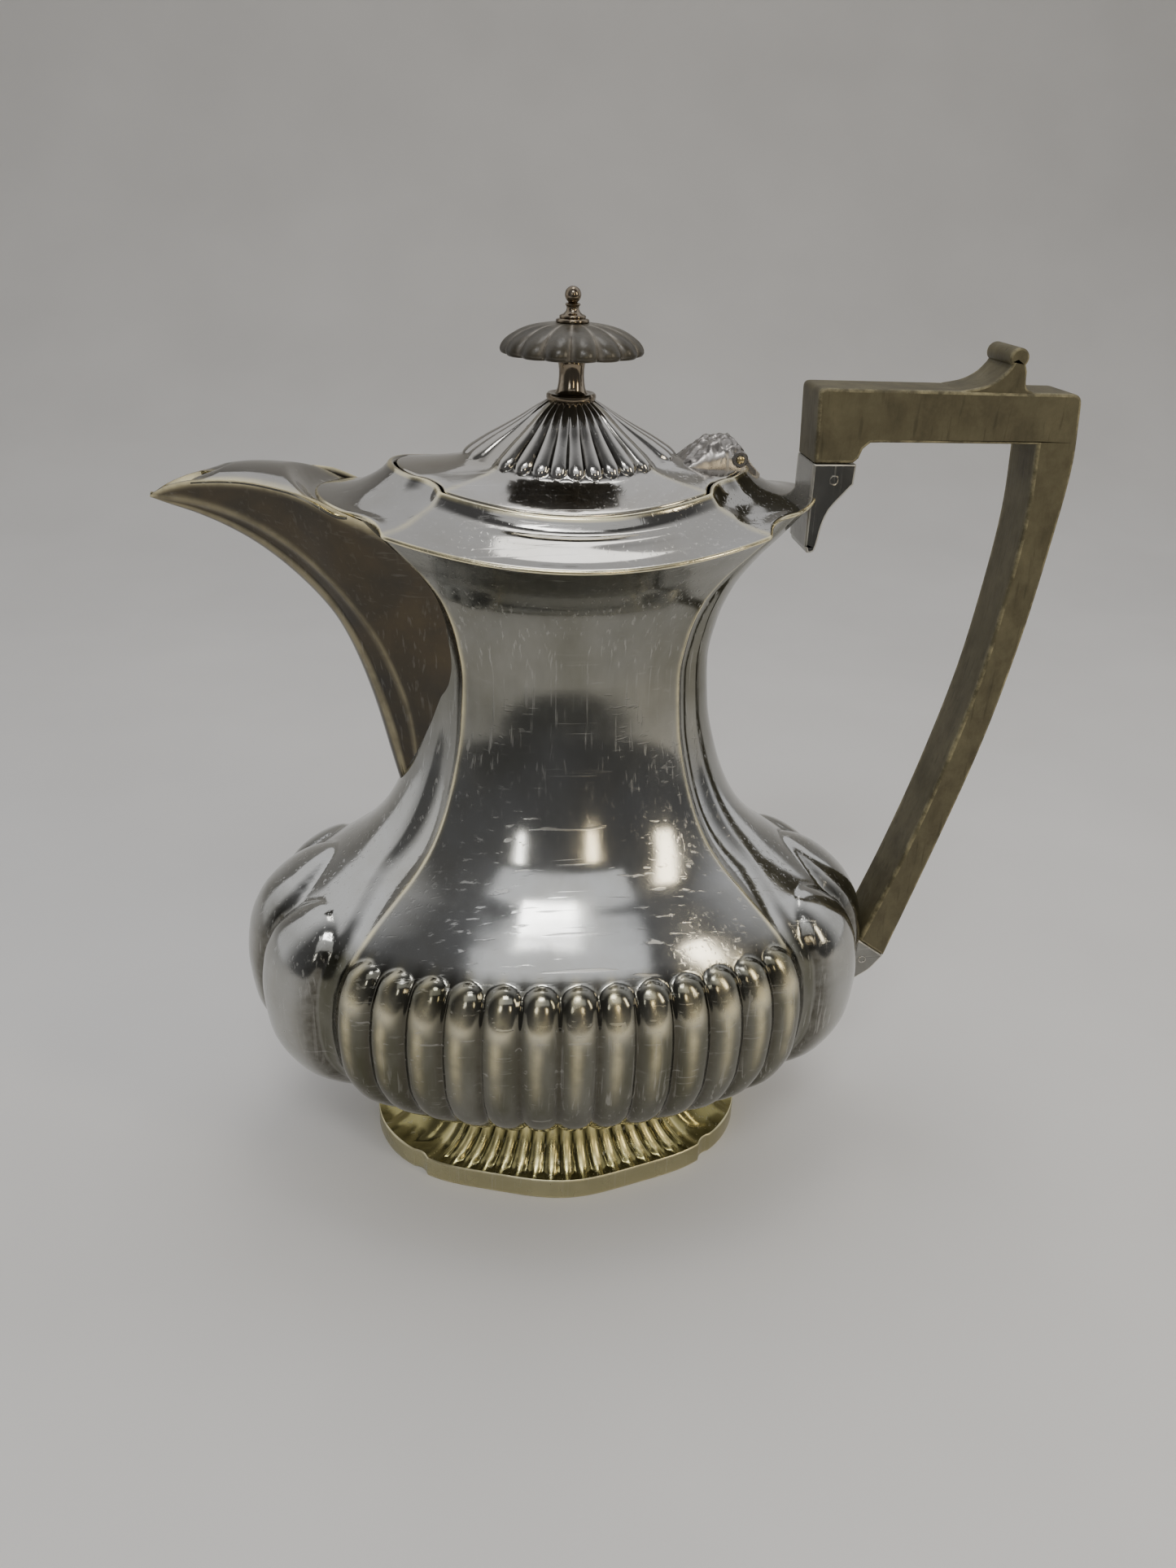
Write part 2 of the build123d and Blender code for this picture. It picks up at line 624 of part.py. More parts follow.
for piece in (body_shell, foot, foot_band, rim_collar, spout_body, spout_cover, upper_socket,
              upper_socket_pin, lower_socket, lower_socket_pin, handle, hinge_leaf_body, hinge_pin,
              lid_cover, lid_bezel, hinge_leaf_lid, finial_stem, finial_knob, finial_cap,
              finial_stud, finial_washer, finial_nut):
    export_step(piece.part, f"parts/{piece.part.label}.step")
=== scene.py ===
"""Silver coffee pot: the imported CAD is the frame, and finer meshes in the same place give it its looks."""
import math

import bpy
import numpy as np
from mathutils import Matrix, Vector
from mathutils.geometry import tessellate_polygon


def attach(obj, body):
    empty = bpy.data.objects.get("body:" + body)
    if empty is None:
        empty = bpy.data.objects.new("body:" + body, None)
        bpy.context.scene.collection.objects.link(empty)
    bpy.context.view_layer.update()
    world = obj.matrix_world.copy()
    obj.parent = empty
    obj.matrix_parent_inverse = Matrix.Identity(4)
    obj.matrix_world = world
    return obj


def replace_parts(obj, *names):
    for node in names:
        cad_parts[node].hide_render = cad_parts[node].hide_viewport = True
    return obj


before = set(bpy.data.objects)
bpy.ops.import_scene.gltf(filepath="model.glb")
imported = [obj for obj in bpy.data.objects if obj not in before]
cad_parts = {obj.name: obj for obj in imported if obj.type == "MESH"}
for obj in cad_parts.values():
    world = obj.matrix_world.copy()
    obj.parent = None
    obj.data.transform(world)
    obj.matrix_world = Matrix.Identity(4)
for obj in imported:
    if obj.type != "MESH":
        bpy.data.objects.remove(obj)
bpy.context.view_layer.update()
MM = 0.001

# ---------------------------------------------------------------- plan and levels, millimetres
SIDE_Y = 0.70
CORNER = (0.725, 0.485)
END_NECK = (0.86, 0.30)
END_BULGE = (0.795, 0.415)
LOBE_SPLIT = 0.383
COVE, FLUTE, MIDDLE_LOBE, SIDE_LOBE = range(4)
COVE_STEPS = 10
RIM_Z, RIM_R, BEAD_R = 190.5, 110.0, 73.0
BALL_Z, BALL_R = 233.35, 1.85

# height, half length, bulge share of the end, share of the rim's dip
BODY = [
    (22.5, 38.0, 1.0, 0.0), (25.5, 46.5, 1.0, 0.0), (29.5, 55.5, 1.0, 0.0), (36.5, 68.5, 1.0, 0.0),
    (44.0, 77.0, 1.0, 0.0), (54.0, 81.3, 1.0, 0.0), (63.5, 82.0, 1.0, 0.0), (72.0, 81.0, 1.0, 0.0),
    (78.0, 78.6, 1.0, 0.0), (84.0, 73.6, 0.97, 0.0), (88.0, 69.3, 0.85, 0.0), (92.0, 64.3, 0.55, 0.0),
    (95.5, 59.8, 0.25, 0.0), (100.0, 54.0, 0.0, 0.0), (106.0, 48.3, 0.0, 0.0), (114.0, 43.6, 0.0, 0.0),
    (124.0, 39.9, 0.0, 0.0), (136.0, 37.2, 0.0, 0.0), (149.0, 36.3, 0.0, 0.02), (159.0, 38.0, 0.0, 0.12),
    (168.0, 41.5, 0.0, 0.28), (176.0, 47.1, 0.0, 0.5), (183.0, 53.4, 0.0, 0.73), (190.1, 59.4, 0.0, 1.0),
]
FOOT = [
    (6.7, 54.0), (7.1, 51.6), (8.2, 48.6), (9.8, 46.0), (13.2, 42.6), (17.6, 40.2), (22.4, 39.0),
]
DOME = [
    (198.4, 25.4), (198.9, 24.8), (199.8, 23.6), (202.3, 19.8), (204.8, 15.6), (207.0, 12.1),
    (209.2, 8.8), (211.0, 5.6),
]


def smooth_curve(xs, ys, x):
    """Monotone cubic through the points, so that a level never bulges past its neighbours."""
    xs, ys, x = np.asarray(xs, float), np.asarray(ys, float), np.asarray(x, float)
    h = np.diff(xs)
    d = np.diff(ys) / h
    m = np.zeros_like(ys)
    m[0], m[-1] = d[0], d[-1]
    for i in range(1, len(d)):
        if d[i - 1] * d[i] > 0:
            w1, w2 = 2 * h[i] + h[i - 1], h[i] + 2 * h[i - 1]
            m[i] = (w1 + w2) / (w1 / d[i - 1] + w2 / d[i])
    k = np.clip(np.searchsorted(xs, x) - 1, 0, len(h) - 1)
    t = (x - xs[k]) / h[k]
    return (ys[k] * (1 + 2 * t) * (1 - t) ** 2 + m[k] * h[k] * t * (1 - t) ** 2
            + ys[k + 1] * t * t * (3 - 2 * t) + m[k + 1] * h[k] * t * t * (t - 1))


def clamp(value):
    return max(0.0, min(1.0, value))


def eased(t):
    """Smooth step from 0 to 1."""
    return t * t * (3 - 2 * t)


def joined(parts, k):
    """One array of item k of all parts."""
    return np.concatenate([part[k] for part in parts])


def dip(y, radius):
    """How far a drum of this radius falls away at y from its top line."""
    return radius - np.sqrt(np.maximum(radius ** 2 - y ** 2, 0))


class Plan:
    """Samples of the plan all the way round: unit position, outward normal and where in a flute or lobe."""

    def __init__(self, flutes, per_flute, per_lobe, wave=0.0):
        self.flutes, self.per_flute, self.per_lobe, self.wave = flutes, per_flute, per_lobe, wave

    def ring(self, bulge):
        ex = END_NECK[0] + bulge * (END_BULGE[0] - END_NECK[0])
        ey = END_NECK[1] + bulge * (END_BULGE[1] - END_NECK[1])
        cx, cy = CORNER
        side_r = (cx ** 2 + (SIDE_Y - cy) ** 2) / (2 * (SIDE_Y - cy))
        end_r = (ey ** 2 + (1 - ex) ** 2) / (2 * (1 - ex))
        pos, nor, u, kind = [], [], [], []
        count = self.flutes * self.per_flute
        top = math.asin(cx / side_r)
        for i in range(count + 1):
            s = 2 * i / count - 1
            t = top * s
            inset = self.wave * math.sin(math.pi * abs(s)) ** 2
            pos.append((side_r * math.sin(t), side_r - SIDE_Y - side_r * math.cos(t) + inset))
            nor.append((math.sin(t), -math.cos(t)))
            u.append((i % self.per_flute) / self.per_flute)
            kind.append(FLUTE)
        hollow = 0.035 - 0.02 * bulge
        length = math.hypot(ex - cx, cy - ey)
        nx, ny = (cy - ey) / length, (ex - cx) / length
        cove = []
        for i in range(1, COVE_STEPS):
            t = i / COVE_STEPS
            depth = hollow * 4 * t * (1 - t)
            cove.append((cx + (ex - cx) * t - depth * nx, -(cy + (ey - cy) * t) + depth * ny))
        for p in cove:
            pos.append(p)
            nor.append((nx, -ny))
            u.append(0.0)
            kind.append(COVE)
        wide = math.asin(ey / end_r)
        bounds = (-1, -LOBE_SPLIT, LOBE_SPLIT, 1)
        for j in range(3):
            for i in range(self.per_lobe + (1 if j == 2 else 0)):
                t = wide * (bounds[j] + (bounds[j + 1] - bounds[j]) * i / self.per_lobe)
                pos.append((1 - end_r + end_r * math.cos(t), end_r * math.sin(t)))
                nor.append((math.cos(t), math.sin(t)))
                u.append((i % self.per_lobe) / self.per_lobe)
                kind.append(MIDDLE_LOBE if j == 1 else SIDE_LOBE)
        for p in reversed(cove):
            pos.append((p[0], -p[1]))
            nor.append((nx, ny))
            u.append(0.0)
            kind.append(COVE)
        pos, nor = np.array(pos), np.array(nor)
        pos = np.vstack([pos, -pos])
        nor = np.vstack([nor, -nor])
        return pos, nor, np.array(u + u), np.array(kind + kind)


def soften(ring):
    """Rounds creases a little, as metal is."""
    return 0.25 * np.roll(ring, 1, 0) + 0.5 * ring + 0.25 * np.roll(ring, -1, 0)


POD_ROUNDNESS = 0.56


def pod(u, z, low, high, end_low, end_high):
    """Height of one round-ended flute, 0 to 1, across u and along z."""
    across = (2 * u - 1) ** 2
    above = np.where(z > high, ((z - high) / end_high) ** 2, 0)
    below = np.where(z < low, ((low - z) / end_low) ** 2, 0)
    return np.maximum(1 - across - (above + below), 0) ** POD_ROUNDNESS


# ---------------------------------------------------------------- mesh helpers
def mesh_object(name, verts, faces, body, material, attributes=None, sharp=None):
    """Object from points in millimetres, riding on a body; attributes are values per point."""
    mesh = bpy.data.meshes.new(name)
    mesh.from_pydata((np.asarray(verts) * MM).tolist(), [], faces)
    mesh.validate(clean_customdata=False)
    for key, values in (attributes or {}).items():
        layer = mesh.attributes.new(key, "FLOAT", "POINT")
        layer.data.foreach_set("value", np.asarray(values, np.float32))
    mesh.materials.append(material)
    mesh.polygons.foreach_set("use_smooth", [True] * len(mesh.polygons))
    if sharp:
        mesh.set_sharp_from_angle(angle=math.radians(sharp))
    obj = bpy.data.objects.new(name, mesh)
    bpy.context.scene.collection.objects.link(obj)
    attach(obj, body)
    return obj


def grid_faces(rows, cols, closed=True, flip=False, start=0):
    """Quads between rows of points; closed joins each row's last point to its first."""
    faces = []
    for r in range(rows - 1):
        for c in range(cols if closed else cols - 1):
            d = (c + 1) % cols
            here, above = start + r * cols, start + (r + 1) * cols
            quad = [here + c, here + d, above + d, above + c]
            faces.append(quad[::-1] if flip else quad)
    return faces


def band(name, rings, body, material, attributes=None, sharp=40, flip=False, loop=False, caps=()):
    """Skin through rings of equal length; loop joins the last ring to the first, caps close chosen ends."""
    rows, cols = len(rings), len(rings[0])
    faces = grid_faces(rows, cols, flip=flip)
    if loop:
        last = (rows - 1) * cols
        for c in range(cols):
            d = (c + 1) % cols
            quad = [last + c, last + d, d, c]
            faces.append(quad[::-1] if flip else quad)
    if "first" in caps:
        cap = list(range(cols))
        faces.append(cap if flip else cap[::-1])
    if "last" in caps:
        cap = list(range((rows - 1) * cols, rows * cols))
        faces.append(cap[::-1] if flip else cap)
    return mesh_object(name, np.vstack(rings), faces, body, material, attributes, sharp)


def lathe(name, profile, body, material, steps=96, sharp=35, axis="Z", centre=(0.0, 0.0), lobed=None):
    """Turned piece from (radius, height) points; an end on the axis closes in a fan."""
    verts, faces, rows = [], [], []
    for r, h in profile:
        row = []
        for i in range(1 if r == 0 else steps):
            t = 2 * math.pi * i / steps
            rr = r if lobed is None else lobed(t, r, h)
            p, q = rr * math.cos(t), rr * math.sin(t)
            row.append(len(verts))
            if axis == "Z":
                verts.append((centre[0] + p, centre[1] + q, h))
            else:
                verts.append((centre[0] + q, h, centre[1] + p))
        rows.append(row)
    for low, high in zip(rows, rows[1:]):
        for i in range(steps):
            j = (i + 1) % steps
            if len(low) == 1:
                faces.append([low[0], high[j], high[i]])
            elif len(high) == 1:
                faces.append([low[i], low[j], high[0]])
            else:
                faces.append([low[i], low[j], high[j], high[i]])
    return mesh_object(name, verts, faces, body, material, sharp=sharp)


def arc(centre, radius, start, end, count):
    """Points of an arc in degrees."""
    angles = np.radians(np.linspace(start, end, count))
    return [(centre[0] + radius * math.cos(t), centre[1] + radius * math.sin(t)) for t in angles]


def through(points, per_span=8):
    """Smooth line through a few points (Catmull-Rom)."""
    pts = [np.array(p, float) for p in points]
    pts = [2 * pts[0] - pts[1]] + pts + [2 * pts[-1] - pts[-2]]
    out = []
    for a, b, c, d in zip(pts, pts[1:], pts[2:], pts[3:]):
        for i in range(per_span):
            t = i / per_span
            out.append(tuple(0.5 * (2 * b + (c - a) * t + (2 * a - 5 * b + 4 * c - d) * t ** 2
                                    + (3 * b - a - 3 * c + d) * t ** 3)))
    return out + [tuple(pts[-2])]


def rounded(points, radii, steps=5):
    """Closed outline with its corners rounded; radii gives one per point."""
    out, n = [], len(points)
    for i in range(n):
        p = np.array(points[i], float)
        if radii[i] == 0:
            out.append(tuple(p))
            continue
        a, b = np.array(points[i - 1], float) - p, np.array(points[(i + 1) % n], float) - p
        reach = min(radii[i], 0.45 * np.linalg.norm(a), 0.45 * np.linalg.norm(b))
        a, b = p + a / np.linalg.norm(a) * reach, p + b / np.linalg.norm(b) * reach
        for k in range(steps + 1):
            t = k / steps
            out.append(tuple((1 - t) ** 2 * a + 2 * t * (1 - t) * p + t * t * b))
    return out


def inset_outline(points, distance):
    """The outline drawn in by a distance along its corner bisectors."""
    p = np.array(points)
    before, after = p - np.roll(p, 1, 0), np.roll(p, -1, 0) - p
    before /= np.linalg.norm(before, axis=1)[:, None]
    after /= np.linalg.norm(after, axis=1)[:, None]
    left = np.column_stack([-(before + after)[:, 1], (before + after)[:, 0]])
    size = np.linalg.norm(left, axis=1)
    left /= np.maximum(size, 1e-9)[:, None]
    reach = distance / np.maximum(size / 2, 0.35)
    return p + left * reach[:, None]


def plate(name, outline, half, edge_radius, body, material, sharp=38):
    """Thick plate across Y from an outline in XZ, with rounded, worn edges and flat faces."""
    rings, wear = [], []
    x, z = np.array(outline).T
    if (x * np.roll(z, -1) - np.roll(x, -1) * z).sum() < 0:
        outline = outline[::-1]
    sections = [(0.0, -(half - edge_radius) * 0.85, 0.0)]
    for t in np.radians([0, 22.5, 45, 67.5, 90]):
        sections.append((edge_radius * (1 - math.cos(t)), -(half - edge_radius * (1 - math.sin(t))), 1.0))
    sections.append((edge_radius * 1.03, -half, 0.0))
    front = [(inset_outline(outline, d), y, w) for d, y, w in sections]
    for ring, y, w in front[::-1] + [(r, -y, w) for r, y, w in front]:
        rings.append(np.column_stack([ring[:, 0], np.full(len(ring), y), ring[:, 1]]))
        wear += [w] * len(ring)
    count = len(outline)
    last = (len(rings) - 1) * count
    faces = grid_faces(len(rings), count, flip=True)
    sides = len(faces)
    flat = [Vector((x, z, 0.0)) for x, z in outline]
    for a, b, c in tessellate_polygon([flat]):
        faces += [[a, b, c], [last + c, last + b, last + a]]
    piece = mesh_object(name, np.vstack(rings), faces, body, material, {"edge": wear}, sharp)
    for face in piece.data.polygons[sides:]:
        face.use_smooth = False
    return piece


# ---------------------------------------------------------------- materials
class Nodes:
    """Short hand for building one material's node tree."""

    def __init__(self, name):
        self.mat = bpy.data.materials.new(name)
        self.mat.use_nodes = True
        self.tree = self.mat.node_tree
        self.tree.nodes.clear()
        self.out = self.tree.nodes.new("ShaderNodeOutputMaterial")
        self.bsdf = self.tree.nodes.new("ShaderNodeBsdfPrincipled")
        self.tree.links.new(self.bsdf.outputs[0], self.out.inputs[0])
        self.coord = self.tree.nodes.new("ShaderNodeTexCoord").outputs["Object"]

    def put(self, socket, value):
        if isinstance(value, bpy.types.NodeSocket):
            self.tree.links.new(value, socket)
        elif value is not None:
            socket.default_value = value

    def node(self, kind, inputs=None, **settings):
        node = self.tree.nodes.new(kind)
        for key, value in settings.items():
            setattr(node, key, value)
        for key, value in (inputs or {}).items():
            self.put(node.inputs[key], value)
        return node

    def noise(self, scale, detail=4.0, rough=0.55, stretch=(1, 1, 1), turn=(0, 0, 0), distort=0.0):
        where = self.node("ShaderNodeMapping", {"Vector": self.coord, "Scale": stretch, "Rotation": turn})
        made = self.node("ShaderNodeTexNoise", {"Vector": where.outputs[0], "Scale": scale, "Detail": detail,
                                                "Roughness": rough, "Distortion": distort})
        return made.outputs["Fac"]

    def math(self, op, a, b=0.0, clamp=False):
        made = self.node("ShaderNodeMath", operation=op, use_clamp=clamp)
        self.put(made.inputs[0], a)
        self.put(made.inputs[1], b)
        return made.outputs[0]

    def ramp(self, fac, *stops):
        made = self.node("ShaderNodeValToRGB")
        self.put(made.inputs[0], fac)
        items = made.color_ramp.elements
        while len(items) < len(stops):
            items.new(0.5)
        for item, (at, colour) in zip(items, stops):
            item.position = at
            item.color = (*colour, 1) if isinstance(colour, tuple) else (colour, colour, colour, 1)
        return made.outputs[0]

    def mix(self, fac, a, b):
        made = self.node("ShaderNodeMix", data_type="RGBA")
        self.put(made.inputs[0], fac)
        for socket, value in ((made.inputs[6], a), (made.inputs[7], b)):
            self.put(socket, (*value, 1) if isinstance(value, tuple) else value)
        return made.outputs[2]

    def attribute(self, name):
        return self.node("ShaderNodeAttribute", attribute_name=name).outputs["Fac"]

    def bump(self, height, strength, distance, normal=None):
        made = self.node("ShaderNodeBump", {"Height": height, "Strength": strength, "Distance": distance})
        if normal is not None:
            self.put(made.inputs["Normal"], normal)
        return made.outputs[0]

    def set(self, **inputs):
        for key, value in inputs.items():
            self.put(self.bsdf.inputs[key.replace("_", " ")], value)
        return self.mat


def silver(name, clean, tarnish, wear_and_glint, amount, rough=(0.06, 0.2), scratch=1.0,
           edge=None, hollow=None, painted_dark=None):
    """Old silver plate: cloudy tarnish, hair scratches, brassy wear on ridges and painted shade in hollows.

    edge names the point attribute for the wear, which on the body and the spout also holds painted glints;
    hollow names the one for the painted shade in hollows, and the last argument the one for the painted dark
    reflection."""
    n = Nodes(name)
    cloud = n.ramp(n.noise(38, 5, 0.6, distort=0.4), (0.35, 0.0), (0.72, 1.0))
    fine = n.noise(420, 3, 0.6)
    base = n.mix(n.math("MULTIPLY", cloud, amount), clean, tarnish)
    # painted dark reflection: a dark base colour in random patches where the attribute says
    if painted_dark:
        patch = n.ramp(n.noise(70, 4, 0.6, stretch=(1, 1, 0.4)), (0.3, 0.75), (0.7, 1.0))
        base = n.mix(n.math("MULTIPLY", n.attribute(painted_dark), patch, clamp=True), base, PAINTED_DARK_REFLECTION)
    # brassy wear on ridges; on the body and the spout the edge attribute also holds painted glints
    if edge:
        broken = n.ramp(n.noise(160, 3), (0.25, 0.35), (0.6, 1.0))
        wear = n.math("MULTIPLY", n.attribute(edge), broken, clamp=True)
        base = n.mix(wear, base, wear_and_glint)
    # painted shade in the hollows, in a darkened tarnish colour
    if hollow:
        hollow_shade = n.math("MULTIPLY", n.attribute(hollow), n.ramp(fine, (0.3, 0.7), (0.7, 1.0)), clamp=True)
        base = n.mix(hollow_shade, base, tuple(0.22 * c for c in tarnish))
    warp = n.noise(14, 2, 0.5)
    hair_a = n.noise(1100, 2, 0.5, stretch=(1.0, 1.0, 0.02), turn=(0.25, 0.45, 0.3), distort=0.3)
    hair_b = n.noise(900, 2, 0.5, stretch=(0.02, 1.0, 1.0), turn=(0.5, -0.6, 0.2), distort=0.3)
    # the two sets of hairs lie in different patches
    here, there = n.ramp(warp, (0.38, 0.0), (0.58, 1.0)), n.ramp(warp, (0.38, 1.0), (0.60, 0.0))
    hair_a = n.math("MULTIPLY", n.ramp(hair_a, (0.60, 0.0), (0.70, 1.0)), here)
    hair_b = n.math("MULTIPLY", n.ramp(hair_b, (0.62, 0.0), (0.72, 1.0)), there)
    marks = n.math("MULTIPLY", n.math("ADD", hair_a, hair_b, clamp=True), scratch)
    low, high = rough
    base = n.mix(n.math("MULTIPLY", marks, 0.25), base, SCRATCHED)
    smear = n.ramp(n.noise(60, 6, 0.65, stretch=(1, 1, 0.5)), (0.3, low), (0.75, high))
    roughness = n.math("ADD", smear, n.math("MULTIPLY", marks, 0.22), clamp=True)
    if edge:
        roughness = n.math("ADD", roughness, n.math("MULTIPLY", wear, 0.18), clamp=True)
    dent = n.bump(n.noise(22, 2, 0.4), 0.10, 0.0012)
    surface = n.bump(n.math("SUBTRACT", n.math("MULTIPLY", fine, 0.2), marks), 0.09, 0.0002, dent)
    return n.set(Base_Color=base, Metallic=1.0, Roughness=roughness, Normal=surface)


def dry_wood(name, dark, mid, pale, grain_turn, dust=None, edge=None, grain=0.10,
             rough=(0.42, 0.62), gloss=0.28):
    """Dry dark wood: streaky grain, rubbed pale edges and a film of dust."""
    n = Nodes(name)
    streak = n.noise(130, 6, 0.65, stretch=(1.0, 1.0, grain), turn=grain_turn, distort=0.3)
    blotch = n.noise(34, 4, 0.6)
    pores = n.noise(900, 2, 0.5, stretch=(1.0, 1.0, 0.12), turn=grain_turn)
    base = n.ramp(streak, (0.25, dark), (0.55, mid), (0.85, pale))
    base = n.mix(n.ramp(blotch, (0.35, 0.0), (0.7, 0.4)), base, tuple(0.5 * c for c in mid))
    film = n.ramp(n.noise(170, 5, 0.7), (0.45, 0.0), (0.8, 0.3))
    base = n.mix(film, base, tuple(min(1.0, 1.3 * c) for c in pale))
    base = n.mix(n.ramp(pores, (0.60, 0.0), (0.72, 0.35)), base, tuple(0.4 * c for c in dark))
    if edge:
        broken = n.ramp(n.noise(220, 4, 0.7), (0.42, 0.0), (0.68, 0.9))
        rub = n.math("MULTIPLY", n.attribute(edge), broken, clamp=True)
        base = n.mix(rub, base, tuple(2.1 * c for c in pale))
    if dust:
        broken = n.ramp(n.noise(300, 3), (0.3, 0.15), (0.65, 0.9))
        pale_line = n.math("MULTIPLY", n.attribute(dust), broken, clamp=True)
        base = n.mix(pale_line, base, DUST)
    roughness = n.ramp(blotch, (0.3, rough[0]), (0.8, rough[1]))
    skin = n.bump(n.math("ADD", streak, n.math("MULTIPLY", pores, -0.7)), 0.25, 0.0004)
    return n.set(Base_Color=base, Roughness=roughness, Specular_IOR_Level=gloss, Normal=skin)


SILVER = (0.58, 0.585, 0.575)
TARNISH = (0.36, 0.335, 0.26)
# colour of brassy wear, also used for painted glints on the body and the spout
WEAR_AND_GLINT = (0.88, 0.79, 0.50)
PAINTED_DARK_REFLECTION = (0.088, 0.086, 0.058)
SCRATCHED = (0.72, 0.71, 0.68)
DUST = (0.30, 0.275, 0.235)
# painted dark reflection: the neck, the flutes and the spout are darker than clean silver, in place of the
# dark room they reflect
silver_body = silver("silver_body", SILVER, TARNISH, WEAR_AND_GLINT, 0.5, (0.08, 0.21), 1.0, "edge", "hollow", "painted_dark")
silver_foot = silver("silver_foot", (0.38, 0.34, 0.15), (0.18, 0.16, 0.06), (0.90, 0.80, 0.38), 0.8,
                     (0.12, 0.24), 0.6, "edge", "hollow")
silver_band = silver("silver_band", (0.50, 0.47, 0.30), (0.30, 0.27, 0.15), (0.92, 0.84, 0.52), 0.7,
                     (0.22, 0.36), 0.8, "edge")
silver_rim = silver("silver_rim", (0.40, 0.395, 0.38), (0.24, 0.215, 0.165), WEAR_AND_GLINT, 0.4,
                    (0.05, 0.14), 0.9, "edge", "hollow")
silver_lid = silver("silver_lid", (0.50, 0.49, 0.47), (0.30, 0.27, 0.21), WEAR_AND_GLINT, 0.5,
                    (0.06, 0.17), 0.8, "edge", "hollow")
silver_spout = silver("silver_spout", (0.052, 0.050, 0.047), (0.15, 0.115, 0.062), WEAR_AND_GLINT, 0.45,
                      (0.05, 0.14), 0.25, "edge")
silver_inside = silver("silver_inside", (0.46, 0.44, 0.38), (0.22, 0.17, 0.11), WEAR_AND_GLINT, 0.9, (0.25, 0.45), 0.4)
silver_socket = silver("silver_socket", (0.30, 0.30, 0.28), (0.13, 0.125, 0.11), (0.62, 0.60, 0.54), 0.8,
                       (0.16, 0.30), 0.6, "edge")
silver_hinge = silver("silver_hinge", (0.38, 0.36, 0.34), (0.14, 0.13, 0.12), WEAR_AND_GLINT, 0.9, (0.20, 0.36), 1.0)
silver_finial = silver("silver_finial", (0.25, 0.21, 0.155), (0.13, 0.10, 0.065), WEAR_AND_GLINT, 0.7,
                       (0.10, 0.22), 0.6)
pin_metal = silver("pin_metal", (0.62, 0.60, 0.55), (0.30, 0.27, 0.22), WEAR_AND_GLINT, 0.6, (0.16, 0.3), 0.6)
brass = silver("brass", (0.72, 0.60, 0.34), (0.38, 0.28, 0.14), (0.9, 0.8, 0.5), 0.8, (0.18, 0.34), 0.8)
wood_handle = dry_wood("wood_handle", (0.062, 0.052, 0.029), (0.118, 0.103, 0.058), (0.165, 0.146, 0.084),
                       (0, 0, 0), edge="edge", grain=0.6)
wood_knob = dry_wood("wood_knob", (0.026, 0.022, 0.015), (0.056, 0.049, 0.034), (0.115, 0.102, 0.075),
                     (0, 1.2, 0), "dust", rough=(0.26, 0.44), gloss=0.5)


# ---------------------------------------------------------------- vessel
def smooth_heights(*spans):
    """Levels from (start, end, step) spans."""
    levels = [np.arange(a, b, step) for a, b, step in spans]
    return np.concatenate(levels + [[spans[-1][1]]])


def near(value, width):
    """1 at value 0, fading over the width."""
    return np.exp(-(value / width) ** 2)


def tilted(pos, nor, rise, slope):
    """Displacement by rise along the true surface normal of a wall that opens by slope per height."""
    lean = (pos * nor).sum(1) * slope
    size = np.sqrt(1 + lean ** 2)
    return nor * (rise / size)[:, None], -lean * rise / size


def corner_wear(pos, a):
    """1 on the four sharp corners, less on the edges of the ends."""
    at_corner = np.hypot(np.abs(pos[:, 0]) - CORNER[0], np.abs(pos[:, 1]) - CORNER[1]) * a
    return near(at_corner, 0.8)


# kind of swelling: lower and upper end of its full height, reach of its ends, rise per half length
SWELLINGS = {
    FLUTE: (33.0, 78.6, 12.5, 4.6, 0.0268),
    MIDDLE_LOBE: (50.0, 82.0, 24.0, 12.5, 0.060),
    SIDE_LOBE: (50.0, 77.5, 24.0, 11.5, 0.052),
}
# painted dark reflection on the neck
NECK_PAINTED_DARK = 0.80


def vessel_ring(z0, a, bulge, saddle, slope):
    """One level of the vessel: its wear and painted glints, the painted shade in its hollows and its painted
    dark reflection.
    """
    pos, nor, u, kind = vessel_plan.ring(bulge)
    of_kind = [kind == k for k in SWELLINGS]
    share = np.select(of_kind, [pod(u, z0, *shape[:4]) for shape in SWELLINGS.values()], 0)
    rise = share * np.select(of_kind, [shape[4] for shape in SWELLINGS.values()], 0) * a
    side, up = tilted(pos, nor, rise, slope)
    xy = pos * a + side
    ring = soften(np.column_stack([xy, z0 + up - saddle * dip(xy[:, 1], RIM_R)]))
    # painted shade along the flute and lobe valleys and round each swelling, less under the painted glints
    valley = np.where(kind > COVE, near(np.minimum(u, 1 - u), 0.15), 0)
    outline = near(share, np.where(kind == FLUTE, 0.38, 0.30))
    valley = np.maximum(valley, np.where(share > 0.01, outline, 0))
    fluted = clamp((86 - z0) / 5) * min(1.0, rise.max() / 1.2)
    # golden stripe on the upper part of each flute's crown: wear and a painted highlight
    crown = np.where(kind == FLUTE, near(2 * u - 0.85, 0.26), 0) * fluted * clamp((z0 - 50) / 18)
    # painted golden glint at the top of each flute
    cap = np.where(kind == FLUTE, near(2 * u - 1, 0.5), 0) * near(z0 - 74.6, 3.4)
    wear_and_glint = np.clip(corner_wear(pos, a) + np.maximum(0.6 * crown, 0.95 * cap), 0, 1)
    # painted dark reflection: full on the flutes, less on the lobes, growing up the neck, lighter under the
    # painted glints
    painted_dark_amount = np.where(kind > FLUTE, 0.4, 1.0) * fluted + NECK_PAINTED_DARK * clamp((z0 - 102) / 40) - 0.7 * cap
    return ring, wear_and_glint, valley * fluted * (1 - 0.6 * cap), painted_dark_amount


